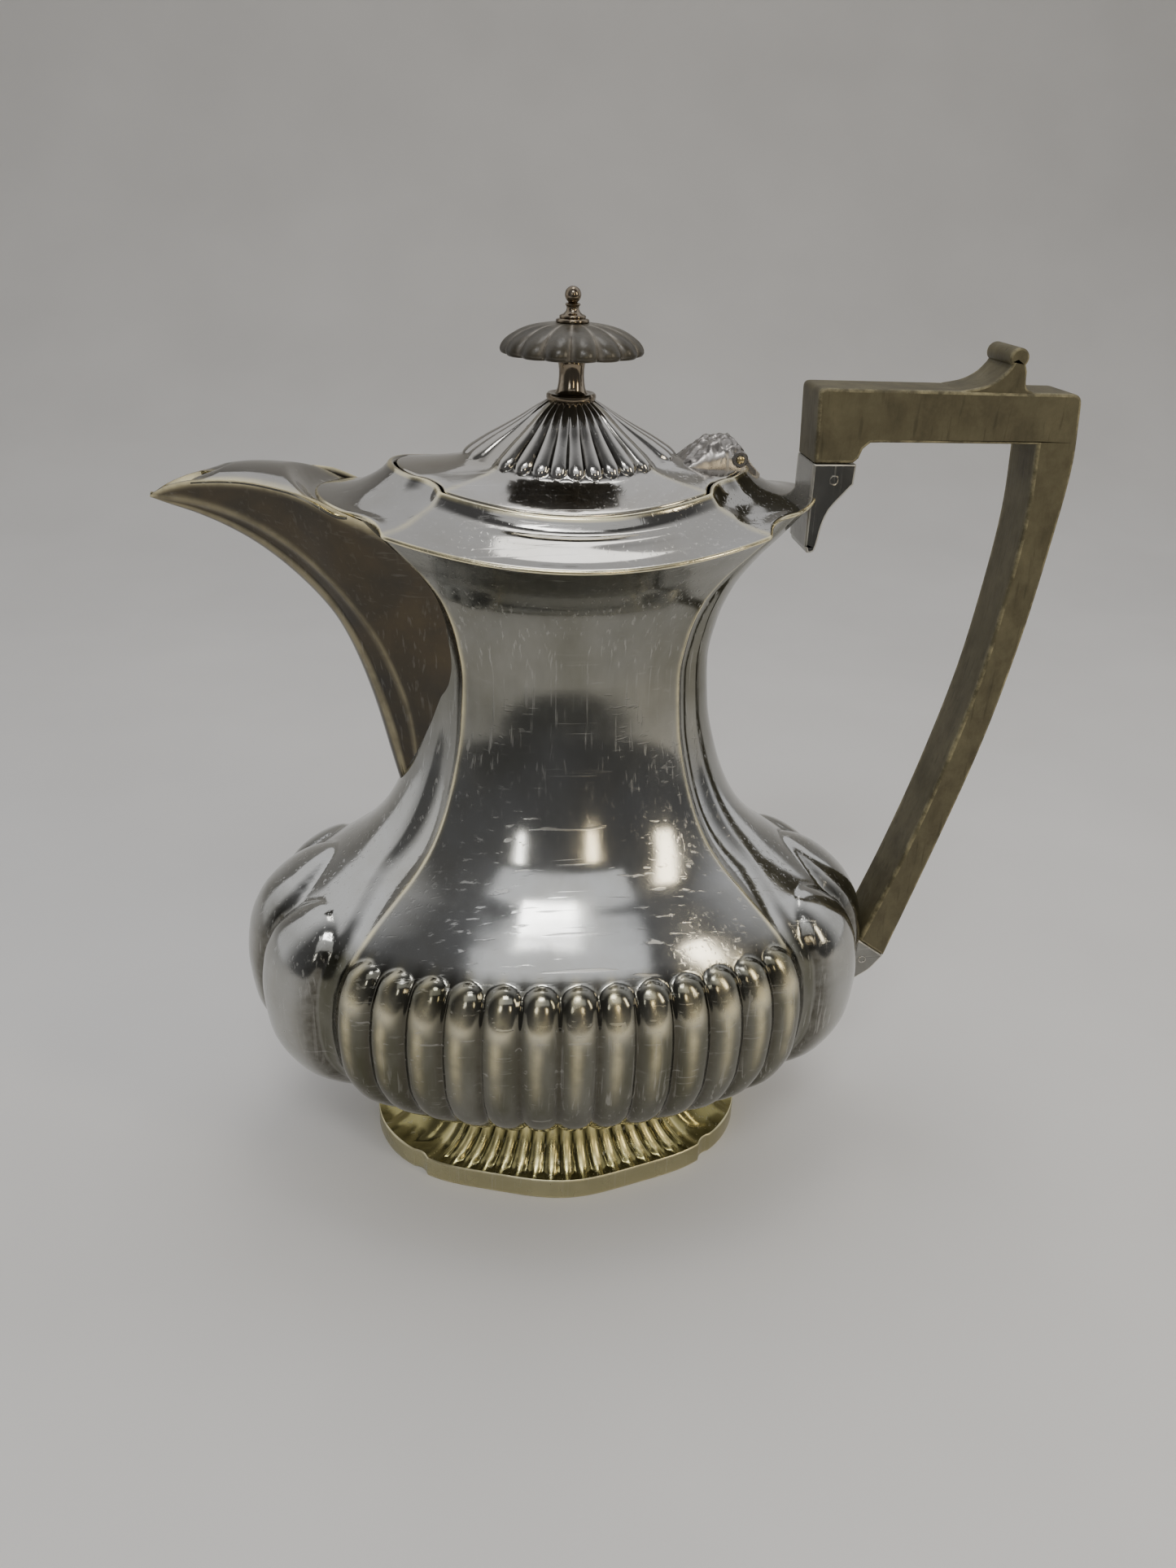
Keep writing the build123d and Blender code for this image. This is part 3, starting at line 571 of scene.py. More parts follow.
vessel_plan = Plan(flutes=13, per_flute=14, per_lobe=24)
z_table, half_table, bulge_table, dip_table = (np.array(column) for column in zip(*BODY))
heights = smooth_heights((22.5, 36, 0.6), (36, 66, 1.6), (66, 97, 0.5), (97, 150, 2.0),
                         (150, 190.1, 1.2))
half = smooth_curve(z_table, half_table, heights)
bulges = smooth_curve(z_table, bulge_table, heights)
dips = smooth_curve(z_table, dip_table, heights)
slopes = np.gradient(half, heights)
parts = [vessel_ring(*row) for row in zip(heights, half, bulges, dips, slopes)]
rings = [part[0] for part in parts]
looks = {"edge": joined(parts, 1), "hollow": joined(parts, 2), "painted_dark": joined(parts, 3)}
vessel = band("vessel", rings, "pot", silver_body, looks, sharp=60)

VESSEL_WALL = 1.4
lining = []
for z0, a, bulge, saddle in zip(heights, half, bulges, dips):
    pos = vessel_plan.ring(bulge)[0] * (a - VESSEL_WALL)
    z = max(z0, heights[0] + VESSEL_WALL)
    lining.append(np.column_stack([pos, z - saddle * dip(pos[:, 1], RIM_R)]))
well = np.column_stack([lining[0][:, :2] * 0.01, lining[0][:, 2]])
vessel_inside = band("vessel_inside", [well] + lining + [rings[-1]], "pot", silver_inside, sharp=60,
                     flip=True)
under = np.column_stack([rings[0][:, :2] * 0.01, rings[0][:, 2]])
vessel_base = band("vessel_base", [under, rings[0]], "pot", silver_inside, sharp=60)
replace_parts(vessel, "body_shell")

# ---------------------------------------------------------------- foot
FOOT_WAVE = 0.024
foot_plan = Plan(flutes=17, per_flute=10, per_lobe=24, wave=FOOT_WAVE)
BAND_A, BAND_H = 54.4, 6.7
# lower and upper end of the full height and reach of the ends; then the rise
FOOT_RIB, FOOT_RIB_RISE = (8.4, 18.5, 1.7, 7.0), 1.1
FOOT_LOBE, FOOT_LOBE_RISE = (9.0, 16.0, 3.0, 9.0), 0.9


def foot_ring(z0, a, slope):
    """One level of the foot, its wear and the painted shade in its rib valleys."""
    pos, nor, u, kind = foot_plan.ring(1.0)
    share = np.clip((z0 - BAND_H) / 1.6, 0, 1)
    ribbed = (kind == FLUTE) & (np.abs(pos[:, 0]) / CORNER[0] < 0.93)
    rib = pod(u, z0, *FOOT_RIB) * np.where(ribbed, FOOT_RIB_RISE, 0)
    lobe = pod(u, z0, *FOOT_LOBE) * np.where(kind > FLUTE, FOOT_LOBE_RISE, 0)
    side, up = tilted(pos, nor, rib + lobe, slope)
    ring = soften(np.column_stack([pos * a + side, z0 + up]))
    # painted shade in the rib valleys
    valley = np.where(ribbed, near(np.minimum(u, 1 - u), 0.2), 0) * share
    crown = np.clip((rib - 0.8) / 0.3, 0, 1)
    return ring, np.clip(corner_wear(pos, a) * 0.8 + crown, 0, 1), valley


foot_z, foot_half = (np.array(column) for column in zip(*FOOT))
levels = smooth_heights((BAND_H, 10, 0.28), (10, 22.6, 0.6))
foot_a = smooth_curve(foot_z, foot_half, levels)
parts = [foot_ring(*row) for row in zip(levels, foot_a, np.gradient(foot_a, levels))]
foot = band("foot_skin", [part[0] for part in parts], "pot", silver_foot,
            {"edge": joined(parts, 1), "hollow": joined(parts, 2)}, sharp=60)
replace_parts(foot, "foot")

pos = foot_plan.ring(1.0)[0]
BAND_TOP_EDGE, BAND_LOW_EDGE = 6.45, 0.25
section = [(2.9, 6.5), (1.3, 6.75), (0.75, 6.7), (0.3, BAND_TOP_EDGE), (0.1, 6.0), (0.15, 3.4), (0.05, 0.9),
           (0.2, BAND_LOW_EDGE), (0.6, 0.0), (2.4, 0.0), (2.8, 0.3), (2.9, 1.2)]
section = [(BAND_A - inward, min(z, BAND_H)) for inward, z in section][::-1]
worn_rings = [np.full(len(pos), 0.6 if z in (BAND_TOP_EDGE, BAND_LOW_EDGE) else 0.0) for a, z in section]
foot_band = band("foot_band_skin", [np.column_stack([pos * a, np.full(len(pos), z)]) for a, z in section],
                 "pot", silver_band, {"edge": np.concatenate(worn_rings)}, sharp=60, loop=True)
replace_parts(foot_band, "foot_band")
FOOT_WALL = 1.2
lining = [np.column_stack([pos * (a - FOOT_WALL), np.full(len(pos), z)])
          for z, a in [(BAND_H - 0.5, 53.6)] + list(zip(levels, foot_a))]
lining.append(np.column_stack([pos * 0.4, np.full(len(pos), 22.4)]))
foot_inside = band("foot_inside", lining, "pot", silver_inside, flip=True, sharp=60)

# ---------------------------------------------------------------- mouth plate
rim_plan = Plan(flutes=13, per_flute=8, per_lobe=16)


def plate_ring(z, a, radius):
    """One line round the mouth plate, bent down over a drum."""
    pos = rim_plan.ring(0.0)[0]
    return soften(np.column_stack([pos * a, z - dip(pos[:, 1] * a, radius)]))


def radius_at(a):
    """The dip tightens from the rim's drum to the bead's."""
    return RIM_R + (BEAD_R - RIM_R) * eased(clamp((50 - a) / 6))


rim_line = [(190.35, 57.6), (189.75, 59.0), (189.7, 59.35), (189.95, 59.5), (190.25, 59.45), (190.5, 59.2)]
sweep = through([(190.55, 58.8), (190.65, 55.0), (191.4, 51.0), (192.8, 47.6), (194.6, 44.6),
                 (196.1, 42.9)], 6)
bead = [(196.6, 42.55), (196.88, 42.3), (196.99, 42.0), (196.97, 41.7), (196.85, 41.4),
        (196.6, 41.2), (196.2, 41.05), (193.0, 41.0), (190.4, 41.0)]
under = [(190.4, 42.5), (193.4, 43.2), (191.6, 46.9), (190.3, 50.5), (189.6, 54.6)]
profile = rim_line + sweep + bead + under
wear = []
for z, a in profile:
    on_line = 1.0 if (z, a) in rim_line[1:] else (0.8 if 41.6 < a < 42.7 and z > 196 else 0.0)
    from_corner = np.abs(rim_plan.ring(0.0)[0]) - CORNER
    creases = 0.5 * near(np.hypot(from_corner[:, 0], from_corner[:, 1]) * a, 0.9)
    wear.append(np.clip(on_line + creases, 0, 1))
mouth_plate = band("mouth_plate", [plate_ring(z, a, radius_at(a)) for z, a in profile], "pot", silver_rim,
                   {"edge": np.concatenate(wear)}, sharp=60, loop=True)
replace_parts(mouth_plate, "rim_collar")

# ---------------------------------------------------------------- lid
REEDS, REED_RISE, LID_LOBE_RISE = (200.4, 211.0, 1.9, 5.0), 0.052, 0.03
ROUND_START, ROUND_REACH = 202.5, 8.5
lid_plan = Plan(flutes=9, per_flute=16, per_lobe=20)


def lid_ring(z0, a, share, slope):
    """One level of the lid, its wear and the painted shade in its reed valleys; the plan turns into a circle
    under the finial.
    """
    pos, nor, u, kind = lid_plan.ring(0.0)
    swell = np.where(kind == FLUTE, REED_RISE, np.where(kind > FLUTE, LID_LOBE_RISE, 0.0)) * max(a, 8.0)
    rise = pod(u, z0, *REEDS) * swell
    side, up = tilted(pos, nor, rise, slope)
    xy = pos * a + side
    round_top = eased(clamp((z0 - ROUND_START) / ROUND_REACH))
    r = np.hypot(xy[:, 0], xy[:, 1])
    circle = xy / np.maximum(r, 1e-6)[:, None] * a * 0.92
    xy = xy + (circle - xy) * 0.75 * round_top
    ring = soften(np.column_stack([xy, z0 + up - share * dip(xy[:, 1], BEAD_R)]))
    # painted shade in the reed valleys
    valley = np.where(kind == FLUTE, near(np.minimum(u, 1 - u), 0.16), 0)
    valley = valley * min(1.0, rise.max()) * (1 - 0.6 * round_top)
    line = 0.25 if z0 < 196.85 else 0.0
    crease = 0.35 * corner_wear(pos, a)
    return ring, np.clip(line + crease, 0, 1), valley


lid_z, lid_half = (np.array(column) for column in zip(*DOME))
border = [(195.75, 40.2), (196.2, 40.45), (196.6, 40.45), (196.8, 40.25), (196.86, 39.8), (196.97, 37.5),
          (197.15, 34.0), (197.45, 31.0), (197.8, 28.0), (198.15, 26.3)]
dome_z = smooth_heights((198.5, 201, 0.2), (201, 211, 0.4))
dome_a = smooth_curve(lid_z, lid_half, dome_z)
lid_levels = border + list(zip(dome_z, dome_a))
lid_slope = np.gradient([a for z, a in lid_levels], [z for z, a in lid_levels])
DIP_LEVELS, DIP_SHARES = (198.5, 202.3, 204.8, 207.0, 210.5), (1.0, 0.9, 0.8, 0.5, 0.0)
parts = [lid_ring(z, a, float(np.interp(z, DIP_LEVELS, DIP_SHARES)), max(slope, -4.0))
         for (z, a), slope in zip(lid_levels, lid_slope)]
lid_top = band("lid_top", [part[0] for part in parts], "lid", silver_lid,
               {"edge": joined(parts, 1), "hollow": joined(parts, 2)}, sharp=60)
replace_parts(lid_top, "lid_cover")
pos = lid_plan.ring(0.0)[0]
# height, half length and share of the dip under the lid
inside = [(195.75, 40.1, 1.0), (195.65, 38.2, 1.0), (196.1, 33.6, 1.0), (197.0, 26.4, 1.0),
          (198.6, 22.4, 1.0), (201.1, 18.5, 0.9), (203.6, 14.3, 0.8), (205.8, 10.8, 0.5),
          (208.0, 7.5, 0.2), (209.65, 5.2, 0.0)]
lining = [np.column_stack([pos * a, z - share * dip(pos[:, 1] * a, BEAD_R)]) for z, a, share in inside]
lid_inside = band("lid_inside", lining, "lid", silver_inside, sharp=60, flip=True, caps=("last",))

# ---------------------------------------------------------------- spout
# top edge x, z, half width; keel x, z, half width
SPOUT = [
    (-97.0, 188.75, 0.5, -97.1, 188.3, 0.3), (-92.2, 191.4, 3.2, -92.6, 187.2, 1.5),
    (-86.0, 193.1, 5.6, -87.0, 185.6, 2.2), (-75.0, 194.1, 10.2, -76.7, 180.9, 3.0),
    (-64.5, 193.0, 14.2, -66.1, 172.8, 3.6), (-52.5, 188.5, 19.0, -55.5, 159.6, 3.8),
    (-36.5, 179.0, 18.5, -48.6, 141.2, 3.6), (-28.0, 158.0, 13.5, -44.4, 123.0, 2.8),
    (-29.0, 130.0, 11.0, -41.8, 110.0, 1.0),
]
SPOUT_WALL = 1.1


def along(table, steps):
    """The table's rows with smooth in-between rows, evenly spread over its length."""
    rows = np.array(table, float)
    gaps = np.linalg.norm(np.diff(rows[:, [0, 1, 3, 4]], axis=0), axis=1)
    where = np.concatenate([[0], np.cumsum(gaps)])
    t = np.linspace(0, where[-1], steps)
    return np.column_stack([smooth_curve(where, rows[:, k], t) for k in range(rows.shape[1])])


def spout_half(row, inset, lift):
    """One side of a section from the top edge down to the keel's middle."""
    tx, tz, tw, kx, kz, kw = row
    height = math.hypot(tx - kx, tz - kz)
    ux, uz = (tx - kx) / height, (tz - kz) / height
    tw, kw = max(tw - inset, 0.12), max(kw - inset, 0.08)
    x0, z0 = kx + inset * ux, kz + inset * uz
    points, wear = [], []
    for t in np.linspace(1, 0.12, 29):
        ridge = near((t - 0.30) * height, 0.9)
        bow = 4 * t * (1 - t) * 0.028 * height + 0.35 * ridge
        w = kw + (tw - kw) * t
        reach = height * t - inset * t + lift * max(0, t - 0.9) * 10
        points.append((x0 + reach * ux, -(w + bow), z0 + reach * uz))
        wear.append(max(near((1 - t) * height, 1.0), 0.22 * ridge))
    chine = points[-1]
    deep = 0.12 * height - inset * 0.12
    for angle in np.radians([14, 30, 48, 66, 80, 90]):
        y = chine[1] * math.cos(angle)
        d = deep - (deep + 0.45 * kw) * math.sin(angle)
        points.append((x0 + d * ux, y, z0 + d * uz))
        wear.append(0.25 if angle < 0.6 else 0.0)
    return points, wear


def spout_ring(row):
    """Section with its lining; near the vessel the wall's top edge is filed up to meet the mouth plate."""
    outer, wear = spout_half(row, 0.0, 0.9 * clamp((row[0] + 63) / 6))
    inner, _ = spout_half(row, SPOUT_WALL, 0.0)
    mirror = [(x, -y, z) for x, y, z in outer[-2::-1]]
    lining = [(x, -y, z) for x, y, z in inner] + inner[-2::-1]
    # painted highlight on the lining near the tip, carried in the edge attribute
    tip_lining_glint = 0.8 * clamp((-83 - row[0]) / 3)
    return np.array(outer + mirror + lining), wear + wear[-2::-1] + [tip_lining_glint] * len(lining)


rows = along(SPOUT, 90)
made = [spout_ring(row) for row in rows]
spout = band("spout_skin", [ring for ring, _ in made], "pot", silver_spout,
             {"edge": np.concatenate([w for _, w in made])}, sharp=50, flip=True, caps=("first",))
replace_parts(spout, "spout_body")

COVER_START, COVER_NOTCH = -86.6, 5.0
RIM_A = 59.4
free = rows[:, 0] < -40
top_x, top_z, top_w = rows[free, 0], rows[free, 1], rows[free, 2]
end_r = (END_NECK[1] ** 2 + (1 - END_NECK[0]) ** 2) / (2 * (1 - END_NECK[0])) * RIM_A


def rim_edge(y):
    """Where the rounded end of the mouth plate lies, across the spout."""
    return -(RIM_A - end_r + math.sqrt(max(end_r ** 2 - y * y, 1.0)))


def cover_point(share, v, drop):
    """share runs from the mouth to just under the rim, v from -1 to 1 across; drop gives the underside."""
    start = COVER_START + COVER_NOTCH * (1 - abs(v)) ** 1.5
    end = rim_edge(17.2 * v) + 0.9
    x = start + (end - start) * share
    w = float(np.interp(x, top_x, top_w)) - 0.1
    z = float(np.interp(x, top_x, top_z))
    crest = (0.9 + 0.115 * w) * min(1.0, 0.35 + share * 4)
    arch = z + crest * (1 - v * v)
    rim = RIM_Z - 0.5 - dip(w * v, RIM_R)
    blend = eased(clamp((rim_edge(w * v) - x) / 7.0))
    return x, w * v, rim + (arch - rim) * blend - drop


across = np.linspace(-1, 1, 25)
lengthwise = np.linspace(0, 1, 44)
rings, wear = [], []
for share in lengthwise:
    top = [cover_point(share, v, 0.0) for v in across]
    low = [cover_point(share, v, 0.7) for v in across[::-1]]
    rings.append(np.array(top + low))
    rim = 0.9 if share < 0.02 else 0.0
    wear += [max(rim, 0.9 * near((1 - abs(v)) * 8, 0.9)) for v in across] + [0.0] * len(low)
cover = band("spout_cover_skin", rings, "pot", silver_rim, {"edge": wear}, sharp=45, caps=("first", "last"))
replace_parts(cover, "spout_cover")

# ---------------------------------------------------------------- handle
HANDLE_HALF = 7.5
outer_line = through([(120.1, 209.5), (120.78, 196.7), (119.2, 176.8), (116.5, 153.4), (111.7, 126.0),
                      (104.4, 96.4), (93.8, 57.4)])
inner_line = through([(86.0, 63.0), (93.6, 86.3), (100.6, 111.6), (106.9, 140.1), (110.1, 164.3),
                      (111.6, 184.9), (110.9, 203.05)])
corner = rounded([(120.1, 209.5), (119.6, 214.6), (110.0, 214.7)], [0, 5.0, 0])
outline = [(57.1, 198.35), (66.4, 198.35), (67.6, 199.4), (68.4, 201.6), (70.0, 203.0), (72.5, 203.1)]
outline += [(90.0, 203.08)] + inner_line[::-1] + outer_line[::-1] + corner[1:-1]
outline += [(106.0, 214.72), (90.0, 214.9), (72.0, 215.05)]
outline += rounded([(72.0, 215.05), (56.4, 215.2), (57.1, 198.35)], [0, 1.6, 0])[1:-1]
handle = plate("handle_skin", outline, HANDLE_HALF, 0.7, "pot", wood_handle)
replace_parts(handle, "handle")

curl_centre, curl_radius = (102.9, 222.35), 2.25
swoop = through([(89.0, 214.2), (90.5, 214.95), (95.2, 215.9), (98.6, 217.6), (100.7, 219.7),
                 (101.5, 221.0)], 6)
curl = arc(curl_centre, curl_radius, 222, -40, 26)
back = through([(105.2, 219.4), (105.35, 217.4), (105.9, 215.7), (107.5, 214.9), (108.6, 214.2)], 5)
scroll_line = ([(89.0, 214.2)] + back[::-1] + curl[::-1] + swoop[::-1])[:-1]
scroll = plate("thumb_scroll", scroll_line, HANDLE_HALF - 0.35, 0.5, "pot", wood_handle, sharp=60)

# ---------------------------------------------------------------- sockets and rivets
tang = through([(67.1, 193.4), (64.6, 190.6), (61.9, 187.2), (60.6, 183.6), (59.9, 179.5), (59.3, 177.2)], 5)
upper = rounded([(56.95, 177.6), (56.95, 198.15), (67.3, 198.15), (67.1, 194.0)], [0.8, 0.5, 0.5, 0])
upper = [(58.3, 176.8)] + [(57.5, 176.9)] + upper[1:] + tang
upper_socket = plate("upper_socket_skin", upper[::-1], HANDLE_HALF, 0.45, "pot", silver_socket)
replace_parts(upper_socket, "upper_socket")
lower = rounded([(86.0, 63.0), (93.7, 57.4), (90.2, 52.6), (82.0, 46.9), (79.0, 46.5), (79.0, 56.0),
                 (82.4, 60.9)], [0.5, 0.5, 1.5, 1.5, 0, 0, 1.0])
lower_socket = plate("lower_socket_skin", lower[::-1], HANDLE_HALF, 0.45, "pot", silver_socket)
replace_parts(lower_socket, "lower_socket")

for name, (x, z) in (("upper_socket_pin", (62.2, 194.4)), ("lower_socket_pin", (87.5, 56.4))):
    # a rivet with a punched hollow in each end
    h = HANDLE_HALF + 0.15
    line = [(0, 0.7), (0.45, 0.65), (0.75, 0.3), (0.95, 0.02), (1.1, 0), (1.2, 0.15)]
    line = [(r, -h + depth) for r, depth in line]
    line += [(r, -y) for r, y in line[::-1]]
    rivet = lathe(name + "_rivet", line, "pot", pin_metal, 32, axis="Y", centre=(x, z))
    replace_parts(rivet, name)

# ---------------------------------------------------------------- hinge
HINGE_X, HINGE_Z = 39.2, 199.0
LUMP_START, LUMP_END, LUMP_HALF = 25.6, 40.6, 7.5
LUMP_UNDER, LUMP_TOP = 196.2, 203.6
lump_x = np.linspace(LUMP_START, LUMP_END, 61)
lump_y = np.linspace(-LUMP_HALF, LUMP_HALF, 57)
crest_line = through([(LUMP_START, 197.0), (27.6, 199.2), (30.0, 201.2), (33.0, 202.7), (36.0, 203.2),
                      (38.6, 202.4), (LUMP_END, 200.4)], 10)
ridge = np.interp(lump_x, [p[0] for p in crest_line], [p[1] for p in crest_line])


def lumps(x, y):
    """Melted solder: a few blunt bumps of different sizes."""
    h = 0.55 * math.sin(0.9 * x + 1.3 * math.sin(0.7 * y)) * math.cos(0.8 * y + 0.4)
    h += 0.3 * math.sin(1.9 * x - 0.8 * y + 1.0) * math.sin(1.5 * y + 0.6 * x)
    return h + 0.14 * math.sin(4.1 * x + 2.0 * math.sin(2.3 * y)) * math.cos(3.7 * y)


verts = []
for x, crest in zip(lump_x, ridge):
    base = 196.9 - 0.018 * (x - 30)
    for y in lump_y:
        fall = max(0.0, 1 - abs(y / LUMP_HALF) ** 3.2) ** 0.5
        start = clamp((x - LUMP_START) / 3.0)
        z = base - 0.4 + (crest - base + 0.4) * fall + lumps(x, y) * fall * start
        verts.append((x + 0.35 * math.sin(1.7 * y) * (1 - start), y, min(z, LUMP_TOP)))
top_faces = grid_faces(len(lump_x), len(lump_y), closed=False, flip=True)
count = len(verts)
verts += [(x, y, LUMP_UNDER - dip(y, BEAD_R)) for x, y, z in verts]
low_faces = grid_faces(len(lump_x), len(lump_y), closed=False, start=count)
cols, rows_of_lump = len(lump_y), len(lump_x)
rim_points = list(range(cols)) + [r * cols + cols - 1 for r in range(1, rows_of_lump)]
rim_points += [(rows_of_lump - 1) * cols + c for c in range(cols - 2, -1, -1)]
rim_points += [r * cols for r in range(rows_of_lump - 2, 0, -1)]
side_faces = [[a, b, b + count, a + count] for a, b in zip(rim_points, rim_points[1:] + rim_points[:1])]
lump = mesh_object("hinge_lump", verts, top_faces + low_faces + side_faces, "lid", silver_hinge, sharp=70)
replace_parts(lump, "hinge_leaf_lid")


KNUCKLE_R, KNUCKLE_BORE = 1.9, 1.0


def knuckle(name, start, end, body):
    """Tube round the hinge pin with its edges broken."""
    line = [(KNUCKLE_BORE, start), (KNUCKLE_R - 0.25, start), (KNUCKLE_R, start + 0.25),
            (KNUCKLE_R, end - 0.25), (KNUCKLE_R - 0.25, end), (KNUCKLE_BORE, end)]
    piece = lathe(name, line, body, silver_hinge, 40, axis="Y", centre=(HINGE_X, HINGE_Z))
    return piece


knuckle("lid_knuckle_front", -7.6, -4.0, "lid")
knuckle("lid_knuckle_back", 4.0, 7.6, "lid")
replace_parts(knuckle("pot_knuckle", -3.7, 3.7, "pot"), "hinge_leaf_body")
leaf_line = [(39.2, 197.2), (42.0, 195.4), (45.0, 193.6), (45.2, 194.9), (43.0, 197.2), (41.3, 199.4),
             (40.9, 200.0)]
leaf = plate("pot_hinge_leaf", leaf_line, 3.6, 0.25, "pot", silver_hinge)
pin_line = [(0, -7.95), (0.5, -7.95), (0.85, -7.8), (0.9, -7.6)]
pin_line += [(r, -y) for r, y in pin_line[::-1]]
pin = lathe("hinge_pin_rod", pin_line, "pot", brass, 32, axis="Y", centre=(HINGE_X, HINGE_Z))
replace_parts(pin, "hinge_pin")

# ---------------------------------------------------------------- finial
stem_line = [(1.6, 210.9), (5.2, 210.9), (5.6, 211.05), (5.8, 211.5), (5.75, 212.1), (5.4, 212.5),
             (4.9, 212.55), (4.4, 212.35), (3.9, 212.4), (3.5, 212.8), (3.2, 213.6), (3.0, 214.8),
             (2.9, 216.2), (2.92, 217.6), (3.1, 218.8), (3.5, 219.9), (4.1, 220.5), (1.6, 220.6)]
stem = lathe("finial_stem_turned", stem_line, "lid", silver_finial, 96)
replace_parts(stem, "finial_stem")

KNOB_LOBES, KNOB_STEPS = 15, 360
knob_line = [(1.6, 220.75), (6.0, 220.65), (10.0, 220.6), (13.0, 220.6), (15.0, 220.7), (15.9, 220.95),
             (16.3, 221.4), (16.4, 222.0), (16.2, 222.7), (15.7, 223.5), (14.9, 224.3), (13.7, 225.1),
             (12.1, 225.9), (10.1, 226.6), (8.0, 227.1), (5.8, 227.4), (3.9, 227.5), (1.6, 227.5)]


def knob_radius(t, r, z):
    """The knob's lobes fade towards its middle."""
    share = np.interp(r, [4.0, 9.0, 15.0], [0.0, 0.6, 1.0])
    lobe = abs(math.sin(KNOB_LOBES * t / 2)) ** 0.62
    return r * (1 - 0.12 * share * (1 - lobe))


knob_fine = through(knob_line, 3)
DUSTY_Z = 221.2
knob = lathe("finial_knob_melon", knob_fine, "lid", wood_knob, KNOB_STEPS, sharp=70, lobed=knob_radius)
dust = []
for r, z in knob_fine:
    for i in range(KNOB_STEPS):
        lobe = abs(math.sin(KNOB_LOBES * math.pi * i / KNOB_STEPS))
        upper_side = 1.0 if z > DUSTY_Z else 0.2
        dust.append(upper_side * (near(lobe, 0.3) + 0.35 * max(0.0, 1 - r / 9)) * min(1.0, r / 4))
layer = knob.data.attributes.new("dust", "FLOAT", "POINT")
layer.data.foreach_set("value", np.array(dust, np.float32))
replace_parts(knob, "finial_knob")

cap_line = [(1.6, 227.5), (3.55, 227.5), (3.78, 227.7), (3.8, 228.1), (3.6, 228.35), (3.1, 228.45),
            (2.95, 228.55), (3.05, 228.75), (3.0, 229.0), (2.7, 229.2), (2.2, 229.4), (1.8, 229.7),
            (1.5, 230.1), (1.4, 230.6), (1.5, 231.0), (1.7, 231.2), (1.75, 231.45), (1.5, 231.65),
            (1.1, 231.75)]
cap_line += arc((0.0, BALL_Z), BALL_R, -58, 88, 15) + [(0, BALL_Z + BALL_R)]
cap = lathe("finial_cap_turned", cap_line, "lid", silver_finial, 64, sharp=50)
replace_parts(cap, "finial_cap")

# the CAD pieces that keep their own shape
for node, material in (("lid_bezel", silver_lid), ("finial_stud", brass), ("finial_washer", brass),
                       ("finial_nut", brass)):
    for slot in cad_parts[node].material_slots:
        slot.material = material

# ---------------------------------------------------------------- camera, floor and light
CAMERA_AT = (-0.0253, -0.2819, 0.2530)
YAW, PITCH, ROLL = math.radians(6.46), math.radians(26.5), math.radians(1.72)
SENSOR, FOCAL_PIXELS, FRAME_LONG = 36.0, 1448, 1927
forward = Vector((math.sin(YAW) * math.cos(PITCH), math.cos(YAW) * math.cos(PITCH), -math.sin(PITCH)))
level = Vector((math.cos(YAW), -math.sin(YAW), 0))
upright = level.cross(forward)
right = math.cos(ROLL) * level + math.sin(ROLL) * upright
up = -math.sin(ROLL) * level + math.cos(ROLL) * upright
camera_data = bpy.data.cameras.new("camera")
camera_data.sensor_width = SENSOR
camera_data.lens = SENSOR * FOCAL_PIXELS / FRAME_LONG
camera_data.clip_start = 0.01
camera = bpy.data.objects.new("camera", camera_data)
bpy.context.scene.collection.objects.link(camera)
camera.matrix_world = Matrix((
    (right.x, up.x, -forward.x, CAMERA_AT[0]),
    (right.y, up.y, -forward.y, CAMERA_AT[1]),
    (right.z, up.z, -forward.z, CAMERA_AT[2]),
    (0, 0, 0, 1)))
bpy.context.scene.camera = camera

# a pale floor that curves up into a pale wall behind the object
FLOOR_FRONT, BEND_START, BEND_R, WALL_TOP, FLOOR_HALF = -0.40, 0.5, 0.5, 1.0, 1.5
sweep_line = [(y, 0.0) for y in (FLOOR_FRONT, -0.1, 0.2)]
sweep_line += arc((BEND_START, BEND_R), BEND_R, -90, 0, 7) + [(BEND_START + BEND_R, WALL_TOP)]
verts = [(x, y, z) for y, z in sweep_line for x in (-FLOOR_HALF, FLOOR_HALF)]
faces = [[2 * i, 2 * i + 1, 2 * i + 3, 2 * i + 2] for i in range(len(sweep_line) - 1)]
floor_mesh = bpy.data.meshes.new("floor")
floor_mesh.from_pydata(verts, [], faces)
floor_mesh.polygons.foreach_set("use_smooth", [True] * len(faces))
floor = bpy.data.objects.new("floor", floor_mesh)
bpy.context.scene.collection.objects.link(floor)
pale = Nodes("pale_floor")
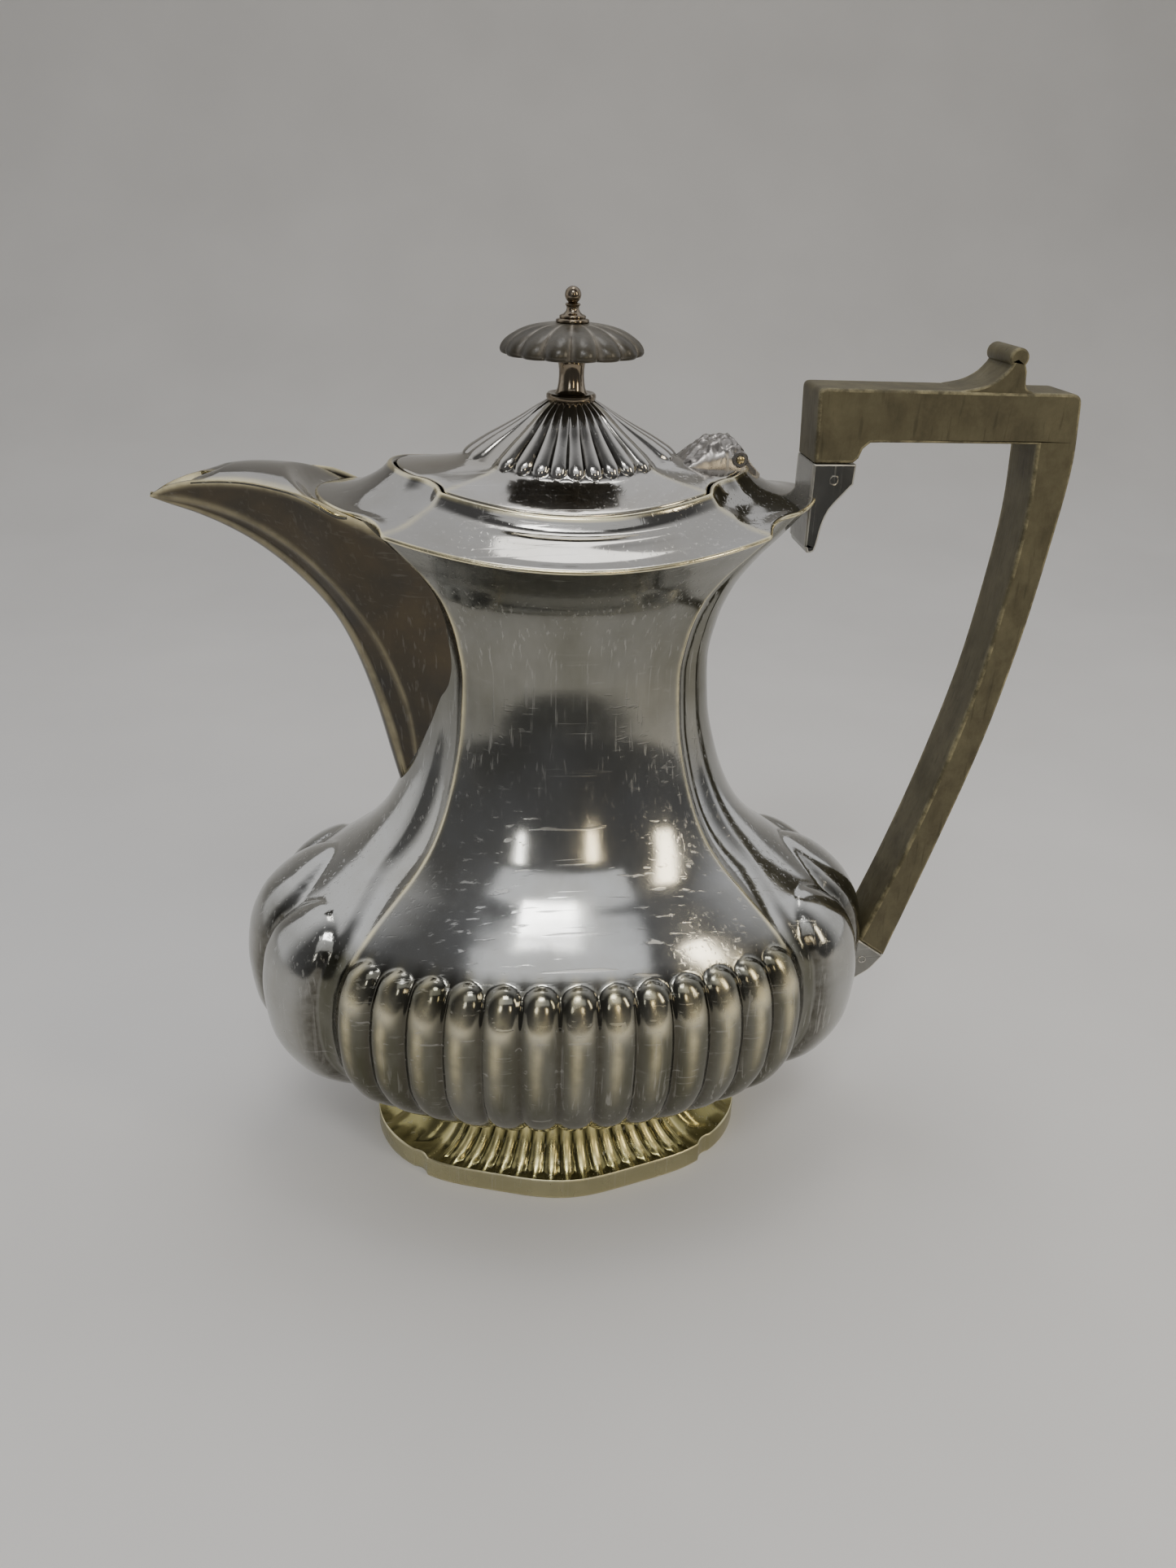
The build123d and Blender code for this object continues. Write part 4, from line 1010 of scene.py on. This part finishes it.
paper = pale.ramp(pale.noise(9, 3, 0.5), (0.3, (0.73, 0.72, 0.705)), (0.7, (0.78, 0.77, 0.755)))
floor_mesh.materials.append(pale.set(Base_Color=paper, Roughness=0.8, Specular_IOR_Level=0.2))


def soft_light(name, place, target, size, power, colour):
    """Area light that faces the target."""
    data = bpy.data.lights.new(name, "AREA")
    data.shape = "RECTANGLE"
    data.size, data.size_y = size
    data.energy = power
    data.color = colour
    lamp = bpy.data.objects.new(name, data)
    lamp.location = place
    lamp.rotation_euler = (Vector(target) - Vector(place)).to_track_quat("-Z", "Y").to_euler()
    bpy.context.scene.collection.objects.link(lamp)


aim = (0.0, 0.0, 0.12)
soft_light("broad", (0.0, -0.80, 0.80), aim, (1.0, 0.40), 1.1, (0.97, 0.98, 1.0))
soft_light("key", (-0.06, -0.66, 0.98), aim, (0.34, 0.17), 2.2, (1.0, 1.0, 1.0))
soft_light("top", (0.05, 0.15, 1.20), aim, (0.30, 0.5), 1.7, (1.0, 0.98, 0.95))
soft_light("side", (0.72, -0.58, 0.50), aim, (0.14, 0.50), 2.0, (1.0, 0.88, 0.66))
soft_light("low_right", (0.30, -1.20, 0.42), aim, (0.10, 0.32), 0.9, (1.0, 0.84, 0.56))
soft_light("low_left", (-0.42, -1.10, 0.46), aim, (0.06, 0.32), 0.6, (1.0, 0.98, 0.92))
# soft light from all round, dimmer from the side of the camera
world = bpy.data.worlds.new("world")
world.use_nodes = True
tree = world.node_tree
toward = tree.nodes.new("ShaderNodeSeparateXYZ")
tree.links.new(tree.nodes.new("ShaderNodeTexCoord").outputs["Generated"], toward.inputs[0])
fade = tree.nodes.new("ShaderNodeMapRange")
tree.links.new(toward.outputs["Y"], fade.inputs["Value"])
for key, value in (("From Min", -0.35), ("From Max", 0.10), ("To Min", 0.13), ("To Max", 0.90)):
    fade.inputs[key].default_value = value
tree.links.new(fade.outputs[0], tree.nodes["Background"].inputs["Strength"])
tree.nodes["Background"].inputs["Color"].default_value = (0.98, 0.98, 1.0, 1)
bpy.context.scene.world = world
